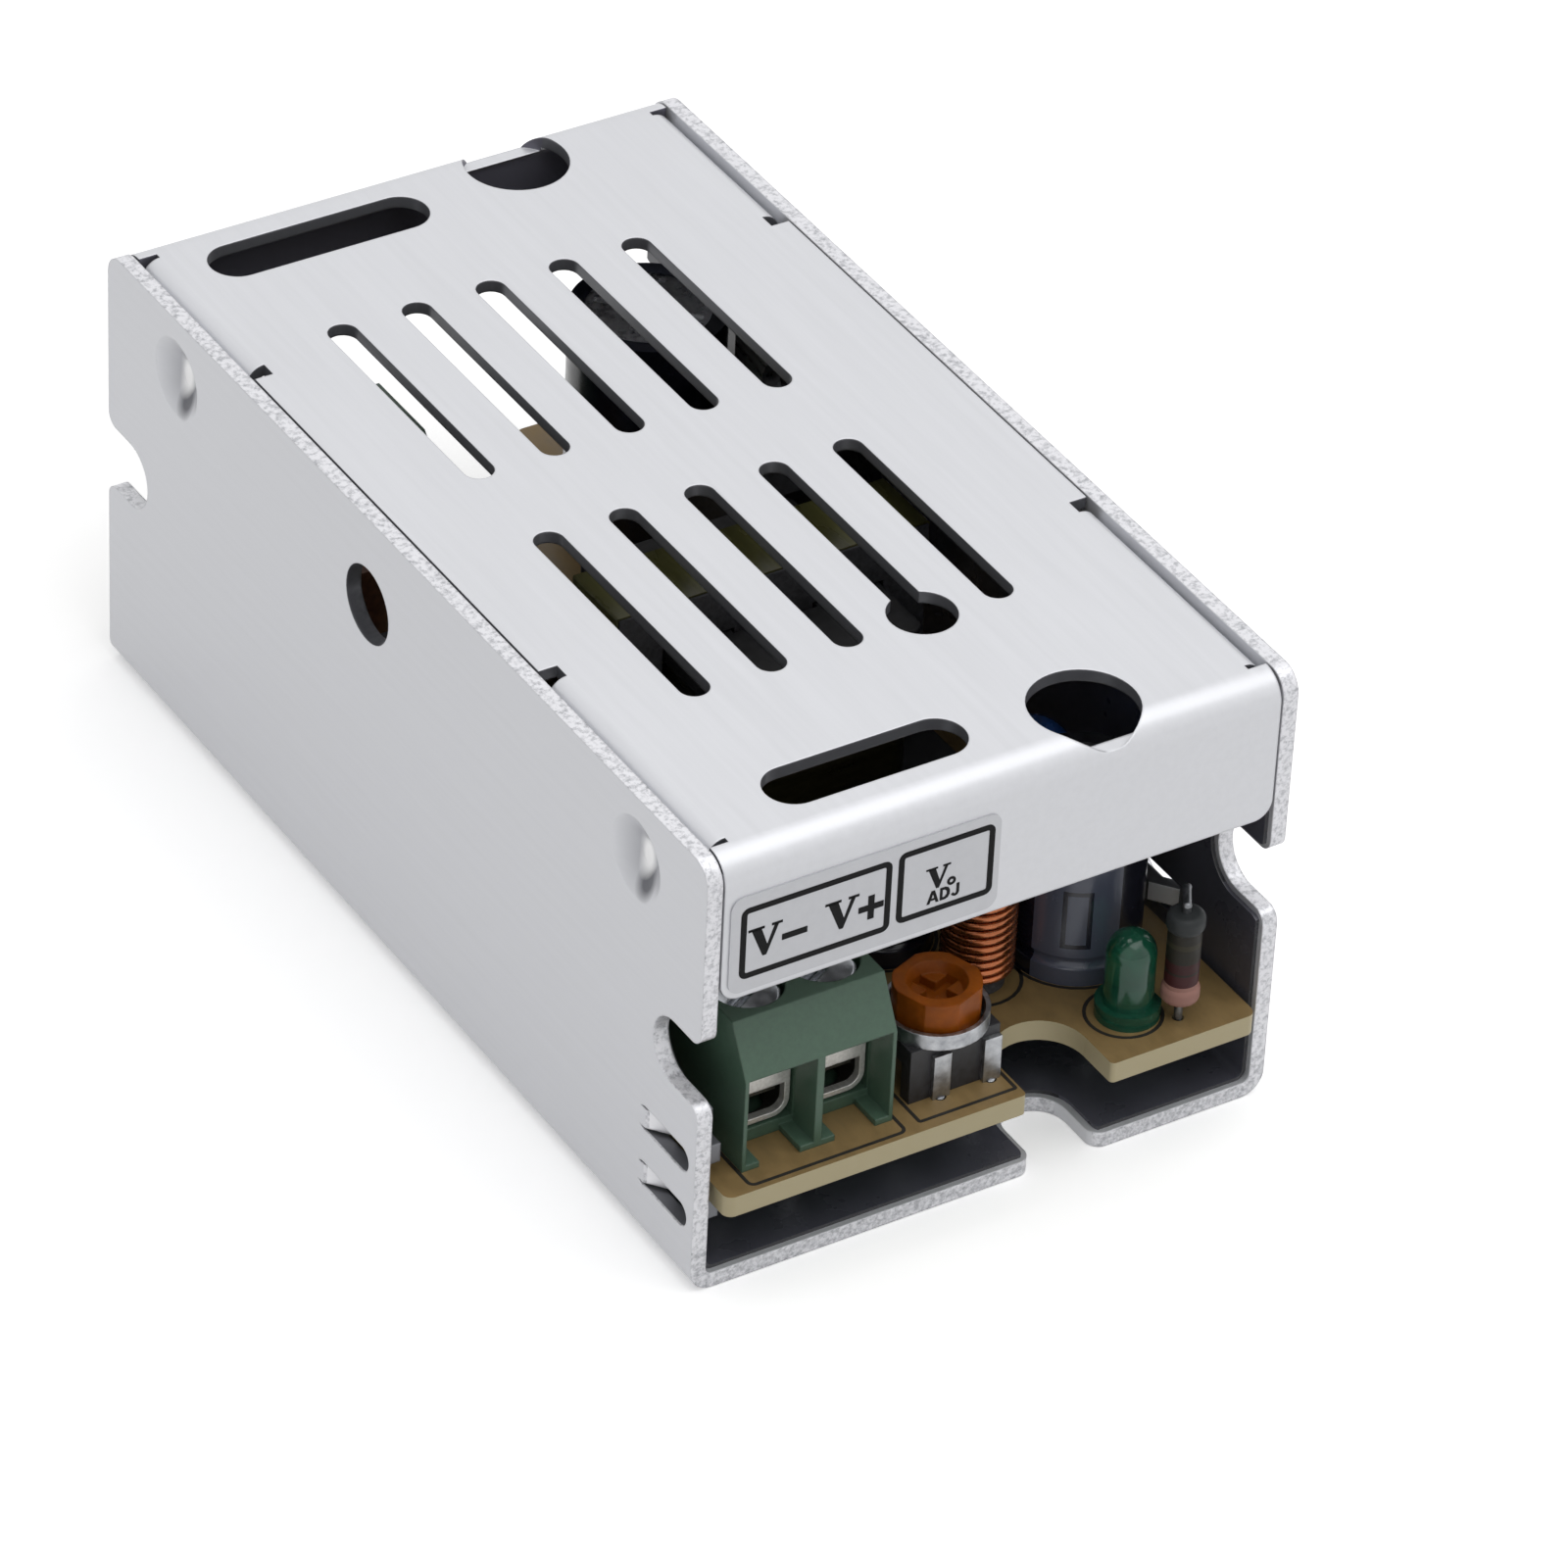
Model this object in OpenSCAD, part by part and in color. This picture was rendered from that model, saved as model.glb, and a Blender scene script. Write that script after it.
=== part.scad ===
// LED power supply: a folded sheet case, open at both ends, around a small switching board.
// The output end faces -Y and the input end faces +Y. The case stands on z = 0 about the origin.

/* [Case] */
// Length of the chassis
case_l = 70; // [66:1:90]
// Width of the chassis
case_w = 39; // [38:0.5:60]
// Height of the chassis
case_h = 30; // [29:0.5:40]
// Thickness of the chassis sheet
sheet_t = 1; // [0.7:0.1:1.2]
// Inner radius of the chassis bends
bend_r = 0.5; // [0.3:0.1:1]
// Radius of the wall corners at the open ends
wall_corner_r = 1.5; // [0.5:0.1:3]
// Width of the U slots in the walls
wall_slot_w = 4.4; // [3:0.1:6]
// Depth of the U slots in the walls
wall_slot_d = 5; // [4:0.1:7]
// Height of the wall slots above the base
wall_slot_z = 15.4; // [14:0.1:17]
// Width of the U slots in the base
base_slot_w = 4.2; // [3:0.1:6]
// Depth of the U slots in the base
base_slot_d = 5; // [4:0.1:7]
// Radius at the mouth of every U slot
slot_mouth_r = 0.9; // [0.3:0.1:1.5]
// Diameter of the fixing hole in the left wall
side_hole_d = 5; // [3:0.1:6]
// Distance of the fixing hole from the output end
side_hole_y = 38; // [30:0.5:44]
// Height of the fixing hole
side_hole_z = 24; // [23.5:0.5:26]

/* [Wall details] */
// Mouth diameter of the pressed dimples that lock the cover
dimple_d = 5.2; // [4:0.1:5.4]
// Floor diameter of the dimples
dimple_floor_d = 1.8; // [1:0.1:2.8]
// Depth of the dimples
dimple_depth = 0.9; // [0.4:0.1:1]
// Height of the dimples
dimple_z = 25.9; // [25:0.1:26.5]
// Distance of the dimples from the output end
dimple_front_y = 7.5; // [6:0.1:12]
// Distance of the dimples from the input end
dimple_rear_y = 8.7; // [7:0.1:12]
// Length of the lanced board tongues
lance_l = 5.6; // [4:0.1:7]
// Height of the slots that the tongues are lanced from
lance_h = 1.7; // [1.2:0.1:2]
// Slit between a tongue and its slot
lance_slit = 0.2; // [0.1:0.05:0.3]
// How far a tongue is pressed into the case
lance_push = 1.2; // [0.9:0.1:1.6]
// Length of the bend at a tongue's root
lance_bend_l = 1.5; // [1.2:0.1:2]
// Height of the lower tongues
lance_low_z = 4.9; // [4.5:0.1:6]
// Distance between the lower and the upper tongues
lance_pitch = 3.95; // [3.5:0.05:5]
// Distance of the left tongues from the output end
lance_left_y = 0.7; // [0.5:0.1:4]
// Distance of the right tongues from each end
lance_right_y = 7.5; // [4:0.1:9]

/* [Cover] */
// Thickness of the cover sheet
cover_t = 0.8; // [0.5:0.1:1]
// Gap between the cover and each wall
cover_gap = 0.15; // [0.1:0.05:0.4]
// Outer radius of the bends at the ends of the cover
flap_bend_r = 1.7; // [1.2:0.1:3]
// Depth of the flaps at the ends of the cover
flap_h = 9.6; // [6:0.1:10]
// Radius of the lower flap corners
flap_corner_r = 1.2; // [0.5:0.1:2]
// Depth of the side tabs
tab_h = 8.5; // [7.5:0.1:9]
// Outer radius of the side tab bends
tab_bend_r = 1.2; // [1.05:0.05:1.6]
// Distance of the tabs from the ends of the cover
tab_inset = 2.2; // [2:0.1:4]
// Length of the front tabs
tab_front_l = 17.2; // [14:0.1:20]
// Length of the rear tabs
tab_rear_l = 13; // [12.5:0.1:20]
// Width of the relief nick at the inner end of each tab
tab_nick_w = 1.1; // [0.6:0.1:2]
// Width of the slit at the outer end of each tab
tab_slit_w = 0.4; // [0.2:0.1:0.8]
// Number of slots in each row
slots_n = 5; // [3:1:6]
// Length of the vent slots
vent_l = 18; // [12:0.5:20]
// Width of the vent slots
vent_w = 1.9; // [1.4:0.1:2.6]
// Distance between neighbouring vent slots
vent_pitch = 5.05; // [4:0.05:6]
// Sideways shift of the vent rows from the middle
vent_shift_x = -1.3; // [-2:0.1:2]
// Distance of the row centres from the middle of the case
vent_row_y = 12.15; // [11:0.05:13]
// Lengthways shift of both rows
vent_shift_y = 0.35; // [-1:0.05:1]
// Diameter of the trimmer key hole at the end of one vent slot
key_hole_d = 4.2; // [3:0.1:5]
// Length of the oblong hole at the output end
oblong_front_l = 13; // [8:0.1:16]
// Length of the oblong hole at the input end
oblong_rear_l = 14.8; // [8:0.1:16]
// Width of the oblong holes
oblong_w = 3.6; // [2:0.1:3.9]
// Distance of the oblong holes from the ends
oblong_inset = 4.6; // [4.2:0.1:6]
// Sideways place of the front oblong hole
oblong_front_x = -6.6; // [-9:0.1:-5]
// Sideways place of the rear oblong hole
oblong_rear_x = -7.6; // [-9:0.1:-6]
// Diameter of the screwdriver holes
access_d = 6.6; // [5:0.1:7]
// Sideways place of the screwdriver holes
access_x = 7.1; // [6.5:0.1:8]
// Distance of the front screwdriver hole from the output end
access_front_y = 3.4; // [3.2:0.1:4.5]
// Distance of the rear screwdriver hole from the input end
access_rear_y = 2.8; // [2.6:0.1:4.5]
// How far the screwdriver holes reach down over the bend
access_drop = 1.1; // [0.9:0.1:2]

/* [Insulation and label] */
// Thickness of the insulating sheet
film_t = 0.25; // [0.15:0.05:0.4]
// Height of the insulating sheet
film_h = 19.4; // [18:0.1:19.8]
// Margin of the insulating sheet around openings and ends
film_margin = 0.4; // [0.2:0.1:0.8]
// Width of the terminal label
label_w = 17.6; // [12:0.1:18]
// Height of the terminal label
label_h = 6.6; // [5:0.1:7]
// Thickness of the terminal label
label_t = 0.1; // [0.05:0.05:0.2]
// Corner radius of the terminal label
label_r = 0.8; // [0.3:0.1:2]
// Margin of the label to the lower and left edges of the flap
label_inset = 0.4; // [0.2:0.1:0.8]

/* [Board] */
// Thickness of the board
board_t = 1.4; // [1:0.1:1.8]
// Gap between the board and each wall
board_side_gap = 0.6; // [0.4:0.05:0.8]
// How far the board stands out of each end of the chassis
board_overhang = 1; // [0:0.1:1.5]
// Radius of the board corners
board_corner_r = 0.6; // [0.3:0.1:2]
// Width of the screwdriver notches
notch_w = 5.8; // [4.5:0.1:6.5]
// Depth of the screwdriver notches
notch_d = 5.8; // [4.5:0.1:6.5]
// Radius at the mouth of the screwdriver notches
notch_mouth_r = 0.3; // [0.1:0.1:1]
// Sideways shift of the front base slot from the front notch
slot_front_shift = 0.6; // [0:0.1:0.8]
// Clearance around each lead in its hole
lead_gap = 0.1; // [0.05:0.05:0.15]
// Length of the lead ends below the board
lead_tail = 1.3; // [0.8:0.1:1.6]

/* [Terminal blocks] */
// Distance between neighbouring terminals
tb_pitch = 5; // [4.96:0.02:5.2]
// Depth of a block
tb_d = 8.4; // [8.1:0.1:8.6]
// Height of a block
tb_h = 9.6; // [9.3:0.1:11]
// Depth of the slope above the wire openings
tb_slope_d = 1.7; // [1:0.1:1.8]
// Thickness of the ribs between wire openings
tb_rib = 0.5; // [0.3:0.05:0.8]
// Chamfer along the inner top edge
tb_chamfer = 1; // [0.5:0.1:1.4]
// Depth of the wire pockets in front of the clamps
pocket_d = 2.3; // [2.1:0.1:2.4]
// Height of the wire pockets
pocket_h = 6.4; // [6:0.1:6.6]
// Width of the foot on each side of a rib
foot_w = 0.9; // [0.4:0.1:1.2]
// Thickness of the feet
foot_t = 0.4; // [0.2:0.1:0.6]
// Width of a clamp
clamp_w = 4.1; // [3.8:0.05:4.2]
// Depth of a clamp
clamp_d = 3.8; // [3.4:0.1:3.9]
// Height of the wire hole in a clamp
clamp_hole_h = 1.9; // [1.8:0.1:2.1]
// Thickness of the clamp strap
clamp_t = 0.35; // [0.3:0.05:0.45]
// Thickness of the threaded top of a clamp
clamp_top_t = 2.2; // [1.6:0.1:2.4]
// Lower corner radius of a clamp
clamp_r = 1.1; // [0.8:0.1:1.4]
// Height of a fully opened clamp above the board
clamp_z = 1; // [0.8:0.1:1.1]
// How far a clamp rises
clamp_rise = 1.2; // [0.8:0.1:1.2]
// Running gap between a clamp and its shaft
clamp_gap = 0.15; // [0.1:0.05:0.2]
// Thickness of the contact bar
bar_t = 0.5; // [0.4:0.05:0.6]
// Width of the contact bar
bar_w = 2.6; // [2:0.1:2.8]
// Diameter of the screw shank
screw_d = 2.5; // [2:0.1:2.6]
// Diameter of the screw head
screw_head_d = 3.9; // [3.4:0.1:4]
// Height of the screw head
screw_head_h = 1.5; // [1.2:0.1:1.6]
// Width of the screw slot
screw_slot_w = 0.8; // [0.5:0.1:1]
// Depth of the screw slot
screw_slot_d = 0.8; // [0.4:0.1:1]
// Diameter of the solder pins
tb_pin_d = 1; // [0.8:0.1:1.2]
// Number of output terminals
out_ways = 2; // [2:1:2]
// Number of input terminals
in_ways = 3; // [2:1:3]
// Distance of the output block from the front edge of the board
out_y = 1.7; // [1.2:0.1:2.5]
// Distance of the input block from the left edge of the board
in_x = 0.7; // [0.5:0.1:2]
// Distance of the input block from the rear edge of the board
in_y = 2; // [1.2:0.1:2.5]

/* [Trimmer and indicator] */
// Distance of the trimmer from the front edge of the board
trim_y = 4.7; // [4.2:0.1:6]
// Size of the trimmer base
trim_size = 6; // [5.4:0.1:6.4]
// Height of the trimmer base above the board
trim_base_z = 2.4; // [1.5:0.1:3]
// Thickness of the trimmer base
trim_base_t = 1.3; // [0.8:0.1:2]
// Height of the metal collar
trim_collar_h = 1; // [0.6:0.1:1.4]
// Outer diameter of the metal collar
trim_collar_d = 6.3; // [6:0.1:6.6]
// Diameter of the rotor
trim_rotor_d = 5.2; // [4.4:0.1:5.3]
// Distance across the flats of the rotor
trim_rotor_flats = 4.8; // [4.2:0.1:5]
// Height of the rotor
trim_rotor_h = 2.6; // [2:0.1:3]
// Distance between the two front legs
trim_leg_pitch = 3.4; // [3:0.1:3.6]
// Width of the legs
trim_leg_w = 1.15; // [0.8:0.05:1.3]
// Sideways shift of the front legs from the rotor
trim_leg_shift = 0.7; // [0:0.1:0.7]
// Diameter of the indicator lamp
led_d = 3; // [2.5:0.1:3.2]
// Height of the indicator lamp
led_h = 5.9; // [4.5:0.1:6.5]
// Diameter of the lamp's flange
led_flange_d = 3.9; // [3.5:0.1:4]
// Distance of the lamp from the front edge of the board
led_y = 3.7; // [3:0.1:4]

/* [Output side components] */
// Diameter of the first output capacitor
out_cap_d = 8; // [6:0.1:8.2]
// Height of the first output capacitor
out_cap_h = 12.5; // [10:0.5:16]
// Diameter of the second output capacitor
second_cap_d = 6.3; // [5:0.1:6.5]
// Height of the second output capacitor
second_cap_h = 9; // [7:0.5:16]
// Diameter of the choke rod
choke_core_d = 3.4; // [2.5:0.1:3.6]
// Length of the choke rod
choke_core_h = 10.5; // [9.5:0.5:14]
// Diameter of the choke wire
choke_wire_d = 0.5; // [0.3:0.05:0.55]
// Number of turns on the choke
choke_turns = 13; // [6:1:14]
// Distance between the turns of the choke
choke_pitch = 0.57; // [0.56:0.01:0.6]
// Diameter of the standing lamp resistor
resistor_d = 2.3; // [1.8:0.1:2.4]
// Length of the standing lamp resistor
resistor_l = 6.3; // [4:0.1:6.6]

/* [Transformer] */
// Width of the core
core_w = 21; // [19:0.1:22]
// Height of the core
core_h = 17.5; // [16:0.1:18]
// Thickness of the core
core_d = 5.3; // [4.5:0.1:6]
// Thickness of the core's yokes and outer legs
core_leg = 3; // [2.4:0.1:3.2]
// Height of the core above the board
core_z = 1.6; // [1:0.1:2]
// Air gap in the centre leg
core_air = 0.2; // [0.1:0.05:0.3]
// Wall of the bobbin tube
bobbin_wall = 0.7; // [0.5:0.1:0.9]
// Thickness of the bobbin flanges
bobbin_flange_t = 0.8; // [0.6:0.1:1.2]
// Gap between the bobbin and the core
bobbin_gap = 0.2; // [0.1:0.05:0.3]
// Length of the bobbin flanges
bobbin_l = 15.2; // [14:0.1:15.6]
// Width of the core tape
tape_w = 5; // [4:0.1:5]
// Thickness of the core tape
tape_t = 0.12; // [0.06:0.02:0.2]

/* [Input side components] */
// Diameter of the bulk capacitor
bulk_cap_d = 9.9; // [8:0.1:10]
// Height of the bulk capacitor
bulk_cap_h = 16; // [14:0.5:20]
// Diameter of the rectifier diodes
rect_d = 2.7; // [2:0.1:2.9]
// Length of the rectifier diodes
rect_l = 5.2; // [4:0.1:5.4]
// Diameter of the fuse
fuse_d = 8.2; // [7:0.1:8.4]
// Height of the fuse
fuse_h = 7.6; // [6:0.1:9]
// Width of the power transistor
transistor_w = 10; // [9:0.1:10.4]
// Thickness of the metal tab of the transistor
transistor_tab_t = 1.3; // [1:0.1:1.5]
// Height of the transistor above the board
transistor_z = 3; // [2:0.1:4]

/* [Hidden] */
$fn = 48;
cut = 0.5;
front = -case_l / 2;
rear = case_l / 2;

tongue_h = lance_h - 2 * lance_slit;
lance_zs = [lance_low_z, lance_low_z + lance_pitch];
// Side of the case, place of the slot and whether the tongue is joined at its front end
lance_places = [
    [-1, front + lance_left_y, 0],
    [1, front + lance_right_y, 1],
    [1, rear - lance_right_y - lance_l, 0],
];
dimple_ys = [front + dimple_front_y, rear - dimple_rear_y];

cover_w = case_w - 2 * (sheet_t + cover_gap);
tab_spans = [
    [front + tab_inset, front + tab_inset + tab_front_l],
    [rear - tab_inset, rear - tab_inset - tab_rear_l],
];
key_slot = slots_n - 2;

board_w = case_w - 2 * (sheet_t + board_side_gap);
board_l = case_l + 2 * board_overhang;
board_z = lance_low_z + tongue_h / 2;
board_top = board_z + board_t;

function from_right(d) = board_w - d;
function from_rear(d) = board_l - d;
function pair(at, span, angle = 0) = [for (s = [-1, 1]) at + s * span / 2 * [cos(angle), sin(angle)]];

// Front row: block, trimmer, notch and lamp share out the room that they leave free
out_share = 0.193;
trim_share = 0.153;
notch_share = 0.05;
led_share = 0.144;
out_w = out_ways * tb_pitch;
front_slack = board_w - out_w - trim_size - notch_w - led_flange_d;
out_x = out_share * front_slack;
trim_left = out_x + out_w + trim_share * front_slack;
notch_left = trim_left + trim_size + notch_share * front_slack;
notch_front_x = notch_left + notch_w / 2 - board_w / 2;
led_x = notch_left + notch_w + led_share * front_slack + led_flange_d / 2;

// Terminal blocks, heights above the board and depths from the wire face
clamp_h = clamp_t + clamp_hole_h + clamp_top_t;
clamp_y = pocket_d + clamp_gap;
screw_y = clamp_y + clamp_d / 2;
shaft_rear = clamp_y + clamp_d + clamp_gap;
shaft_top = clamp_z + clamp_h + clamp_rise + clamp_gap;
shank_fit = 0.05;
head_gap = 0.25;
seat_gap = 0.05;
bar_top = clamp_z + clamp_t + clamp_hole_h - seat_gap;
shoulder_t = 0.7;
shoulder_z = shaft_top + shoulder_t;
strip_t = 0.7;
strip_y = shaft_rear + strip_t / 2;
out_ats = [for (i = [0 : out_ways - 1]) [out_x + (i + 0.5) * tb_pitch, out_y]];
in_ats = [for (i = [0 : in_ways - 1]) [in_x + (i + 0.5) * tb_pitch, from_rear(in_y)]];

// Trimmer
trim_at = [trim_left + trim_size / 2, trim_y];
trim_leg_t = 0.35;
trim_front_y = 2.25;
trim_top = trim_base_z + trim_base_t;
trim_pivot_d = 1.6;
trim_lift = 0.1;
trim_leg_d = 0.6;
trim_leg_y = -trim_front_y - trim_leg_t / 2;
trim_leg_ats = [
    for (s = [-1, 1]) trim_at + [trim_leg_shift + s * trim_leg_pitch / 2, trim_leg_y],
    trim_at + [0, (trim_size - trim_leg_t) / 2],
];

// Indicator lamp and its resistor
led_at = [led_x, led_y];
led_flange_h = 1;
led_lead_d = 0.5;
led_lead_pitch = 1.6;
led_post_h = 2.4;
led_leads = pair(led_at, led_lead_pitch);
resistor_ahead = 1.8;
resistor_aside = 2.35;
resistor_z = 1.4;
resistor_lead_d = 0.5;
resistor_knee_d = 0.56;
resistor_rise = 0.4;
resistor_span = 1.75;
resistor_angle = 57;
resistor_at = led_at + [resistor_aside, -resistor_ahead];
resistor_leads = [
    resistor_at,
    resistor_at + resistor_span * [cos(resistor_angle), sin(resistor_angle)],
];

// Middle row: optocoupler, output diode, second output capacitor, reference and safety capacitor
leg_row = 7.62;
leg_t = 0.3;
opto_w = leg_row + leg_t;
catch_d = 5;
reference_d = 4.6;
disc_t = 3.4;
mid_gap = (board_w - opto_w - catch_d - second_cap_d - reference_d - disc_t) / 6;
opto_x = mid_gap + opto_w / 2;
catch_x = opto_x + opto_w / 2 + mid_gap + catch_d / 2;
second_cap_x = catch_x + catch_d / 2 + mid_gap + second_cap_d / 2;
reference_x = second_cap_x + second_cap_d / 2 + mid_gap + reference_d / 2;
disc_x = reference_x + reference_d / 2 + mid_gap + disc_t / 2;
mid_y = 16.6;

// Capacitors: places of the axes, distances and diameter of the leads
cap_lead_d = 0.6;
out_cap_pitch = 3.5;
second_cap_pitch = 2.5;
bulk_cap_pitch = 5;
sleeve_t = 0.12;
sleeve_gap = 0.02;
out_cap_right = 5.9;
out_cap_y = 10.6;
bulk_cap_right = 1.3;
bulk_cap_rear = 12.4;
out_cap_at = [from_right(out_cap_right), out_cap_y];
second_cap_at = [second_cap_x, mid_y];
bulk_cap_at = [from_right(bulk_cap_d / 2 + bulk_cap_right), from_rear(bulk_cap_rear)];
cap_leads = concat(
    pair(out_cap_at, out_cap_pitch),
    pair(second_cap_at, second_cap_pitch),
    pair(bulk_cap_at, bulk_cap_pitch, 90)
);

// Choke
choke_reach = 6.7;
choke_at = out_cap_at - [choke_reach, 0];
choke_fit = 0.03;
coil_steps = 14;
wire_sides = 8;
choke_coil_r = (choke_core_d / 2 + choke_wire_d / 2 + choke_fit) / cos(180 / coil_steps);
choke_coil_z = 1.3;
choke_return_gap = 0.1;
choke_return_r = choke_coil_r + choke_wire_d + choke_return_gap;
choke_start_angle = 240;
choke_return_angle = 60;
choke_leads = [
    choke_at + choke_coil_r * [cos(choke_start_angle), sin(choke_start_angle)],
    choke_at + choke_return_r * [cos(choke_return_angle), sin(choke_return_angle)],
];

// Safety capacitor: a disc on edge beside the transformer
disc_d = 8.4;
disc_round = 1.4;
disc_pitch = 5;
disc_z = 1;
disc_lead_d = 0.6;
disc_y = 18.95;
disc_at = [disc_x, disc_y];
disc_leads = pair(disc_at, disc_pitch, 90);

// Transformer
trafo_shift = 1.5;
trafo_y = 30.8;
trafo_at = [board_w / 2 + trafo_shift, trafo_y];
core_centre = core_d;
core_window = (core_w - 2 * core_leg - core_centre) / 2;
bobbin_w = core_centre + 2 * (core_window - bobbin_gap);
bobbin_tube = core_centre + 2 * (bobbin_gap + bobbin_wall);
window_z = core_z + core_leg;
window_h = core_h - 2 * core_leg;
rail_d = bobbin_l / 2 - core_d / 2 - bobbin_gap - tape_t;
trafo_pin_d = 0.7;
trafo_pin_pitch = 4;
trafo_pins_n = 4;
trafo_pin_ats = [
    for (s = [-1, 1], i = [0 : trafo_pins_n - 1])
        trafo_at + [(i - (trafo_pins_n - 1) / 2) * trafo_pin_pitch, s * (bobbin_l - rail_d) / 2],
];

// Chips: rows of legs on both sides
leg_pitch = 2.54;
leg_w = 1.2;
leg_pin_d = 0.5;
chip_w = 6.4;
chip_h = 3.2;
chip_z = 0.5;
chip_x = 6.1;
chip_rear = 24.5;
chip_at = [chip_x, from_rear(chip_rear)];
chip_pairs = 4;
opto_y = 17.2;
opto_at = [opto_x, opto_y];
opto_pairs = 2;
function chip_leg_ats(at, pairs) = [
    for (s = [-1, 1], i = [0 : pairs - 1]) at + [s * leg_row / 2, (i - (pairs - 1) / 2) * leg_pitch]
];
chip_legs_all = concat(chip_leg_ats(chip_at, chip_pairs), chip_leg_ats(opto_at, opto_pairs));

// Lying diodes
rect_n = 4;
rect_pitch = 3.3;
rect_span = 8;
rect_lead_d = 0.7;
rect_lift = 0.3;
rect_x = 13.2;
rect_rear = 24;
rect_ats = [for (i = [0 : rect_n - 1]) [rect_x + i * rect_pitch, from_rear(rect_rear)]];
catch_l = 8.4;
catch_span = 11;
catch_lead_d = 1;
catch_at = [catch_x, mid_y];
rect_leads = [for (at = rect_ats, p = pair(at, rect_span, 90)) p];
catch_leads = pair(catch_at, catch_span, 90);

// Fuse
fuse_x = 6.6;
fuse_rear = 14.8;
fuse_at = [fuse_x, from_rear(fuse_rear)];
fuse_lead_d = 0.7;
fuse_pitch = 5;
fuse_leads = pair(fuse_at, fuse_pitch);

// Power transistor standing along the right wall
transistor_right = 2.7;
transistor_rear = 23.9;
transistor_at = [from_right(transistor_right), from_rear(transistor_rear)];
transistor_t = 4.4;
transistor_body_h = 9.2;
transistor_tab_h = 15.6;
transistor_hole_d = 3.6;
transistor_hole_drop = 2.8;
transistor_leg_d = 0.8;
transistor_leg_x = -2.4;
transistor_leg_ats = [
    for (i = [-1 : 1]) transistor_at + [transistor_leg_x, i * leg_pitch]
];

// Voltage reference
reference_y = 18.4;
reference_leg_pitch = 1.27;
reference_at = [reference_x, reference_y];
reference_flat = 1.2;
reference_h = 4.6;
reference_z = 2;
reference_leg_d = 0.5;
reference_legs = [for (i = [-1 : 1]) reference_at + [i * reference_leg_pitch, 0]];

// Every lead that passes the board, with its diameter
function sized(points, d) = [for (p = points) [p.x, p.y, d]];
function pin_of(at, s) = at + [0, s * strip_y];
leads = concat(
    sized([for (at = out_ats) pin_of(at, 1)], tb_pin_d),
    sized([for (at = in_ats) pin_of(at, -1)], tb_pin_d),
    sized(trim_leg_ats, trim_leg_d),
    sized(led_leads, led_lead_d),
    sized(resistor_leads, resistor_lead_d),
    sized(choke_leads, choke_wire_d),
    sized(cap_leads, cap_lead_d),
    sized(disc_leads, disc_lead_d),
    sized(trafo_pin_ats, trafo_pin_d),
    sized(chip_legs_all, leg_pin_d),
    sized(rect_leads, rect_lead_d),
    sized(catch_leads, catch_lead_d),
    sized(fuse_leads, fuse_lead_d),
    sized(transistor_leg_ats, transistor_leg_d),
    sized(reference_legs, reference_leg_d)
);
joint_ring = 0.5;
joint_h = 0.9;

// Shared outlines and frames

// A profile that is open at the top, with rounded lower corners and its foot on the X axis
module tray_outline(w, h, r) {
    translate([-w / 2, r]) square([w, h - r]);
    translate([r - w / 2, 0]) square([w - 2 * r, h]);
    for (side = [-1, 1]) translate([side * (w / 2 - r), r]) circle(r);
}

// A slot that runs along +Y from an edge on the X axis, with a rounded end and a flared mouth
module u_slot(w, d, mouth_r) {
    translate([-w / 2, -cut]) square([w, d - w / 2 + cut]);
    translate([0, d - w / 2]) circle(d = w);
    for (side = [0, 1]) mirror([side, 0]) translate([w / 2, 0]) difference() {
        translate([-cut, -cut]) square([mouth_r + cut, mouth_r + cut]);
        translate([mouth_r, mouth_r]) circle(mouth_r);
    }
}

// What is taken off the upper left corner at the origin to round it
module corner_cut(r) {
    difference() {
        translate([-cut, -r]) square([r + cut, r + cut]);
        translate([r, -r]) circle(r);
    }
}

module stadium(l, w) {
    square([l - w, w], center = true);
    for (side = [-1, 1]) translate([side * (l - w) / 2, 0]) circle(d = w);
}

module rounded_rect(l, w, r) {
    square([l - 2 * r, w], center = true);
    square([l, w - 2 * r], center = true);
    for (x = [-1, 1], y = [-1, 1]) translate([x * (l / 2 - r), y * (w / 2 - r)]) circle(r);
}

// Profiles drawn in the X-Z or the Y-Z plane, run along the other axis about the origin
module along_y(l) rotate([90, 0, 0]) linear_extrude(l, center = true) children();
module along_x(l) rotate([90, 0, 90]) linear_extrude(l, center = true) children();
module both_ends() for (end = [0, 1]) mirror([end, 0]) children();

// The board's own frame: its left front corner, on its upper face
module on_board() translate([-board_w / 2, -board_l / 2, board_top]) children();
module at_point(p, z = 0) translate([p.x, p.y, z]) children();

// Round lead ends from a height above the board to below it
module lead_ends(points, d, top = 0) {
    for (p = points) at_point(p, -board_t - lead_tail) cylinder(d = d, h = board_t + lead_tail + top);
}

// Case

module wall_slots(margin = 0) {
    along_x(case_w + 2 * cut) both_ends() translate([front, wall_slot_z]) rotate(-90)
        u_slot(wall_slot_w + 2 * margin, wall_slot_d + margin, slot_mouth_r);
}

module base_slots(margin = 0) {
    translate([notch_front_x + slot_front_shift, front, -cut]) linear_extrude(sheet_t + film_t + 2 * cut)
        u_slot(base_slot_w + 2 * margin, base_slot_d + margin, slot_mouth_r);
    translate([access_x, rear, -cut]) linear_extrude(sheet_t + film_t + 2 * cut)
        rotate(180) u_slot(base_slot_w + 2 * margin, base_slot_d + margin, slot_mouth_r);
}

module at_dimples() {
    for (side = [0, 1], y = dimple_ys) mirror([side, 0, 0])
        translate([-case_w / 2, y, dimple_z]) rotate([0, 90, 0]) children();
}

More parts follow.
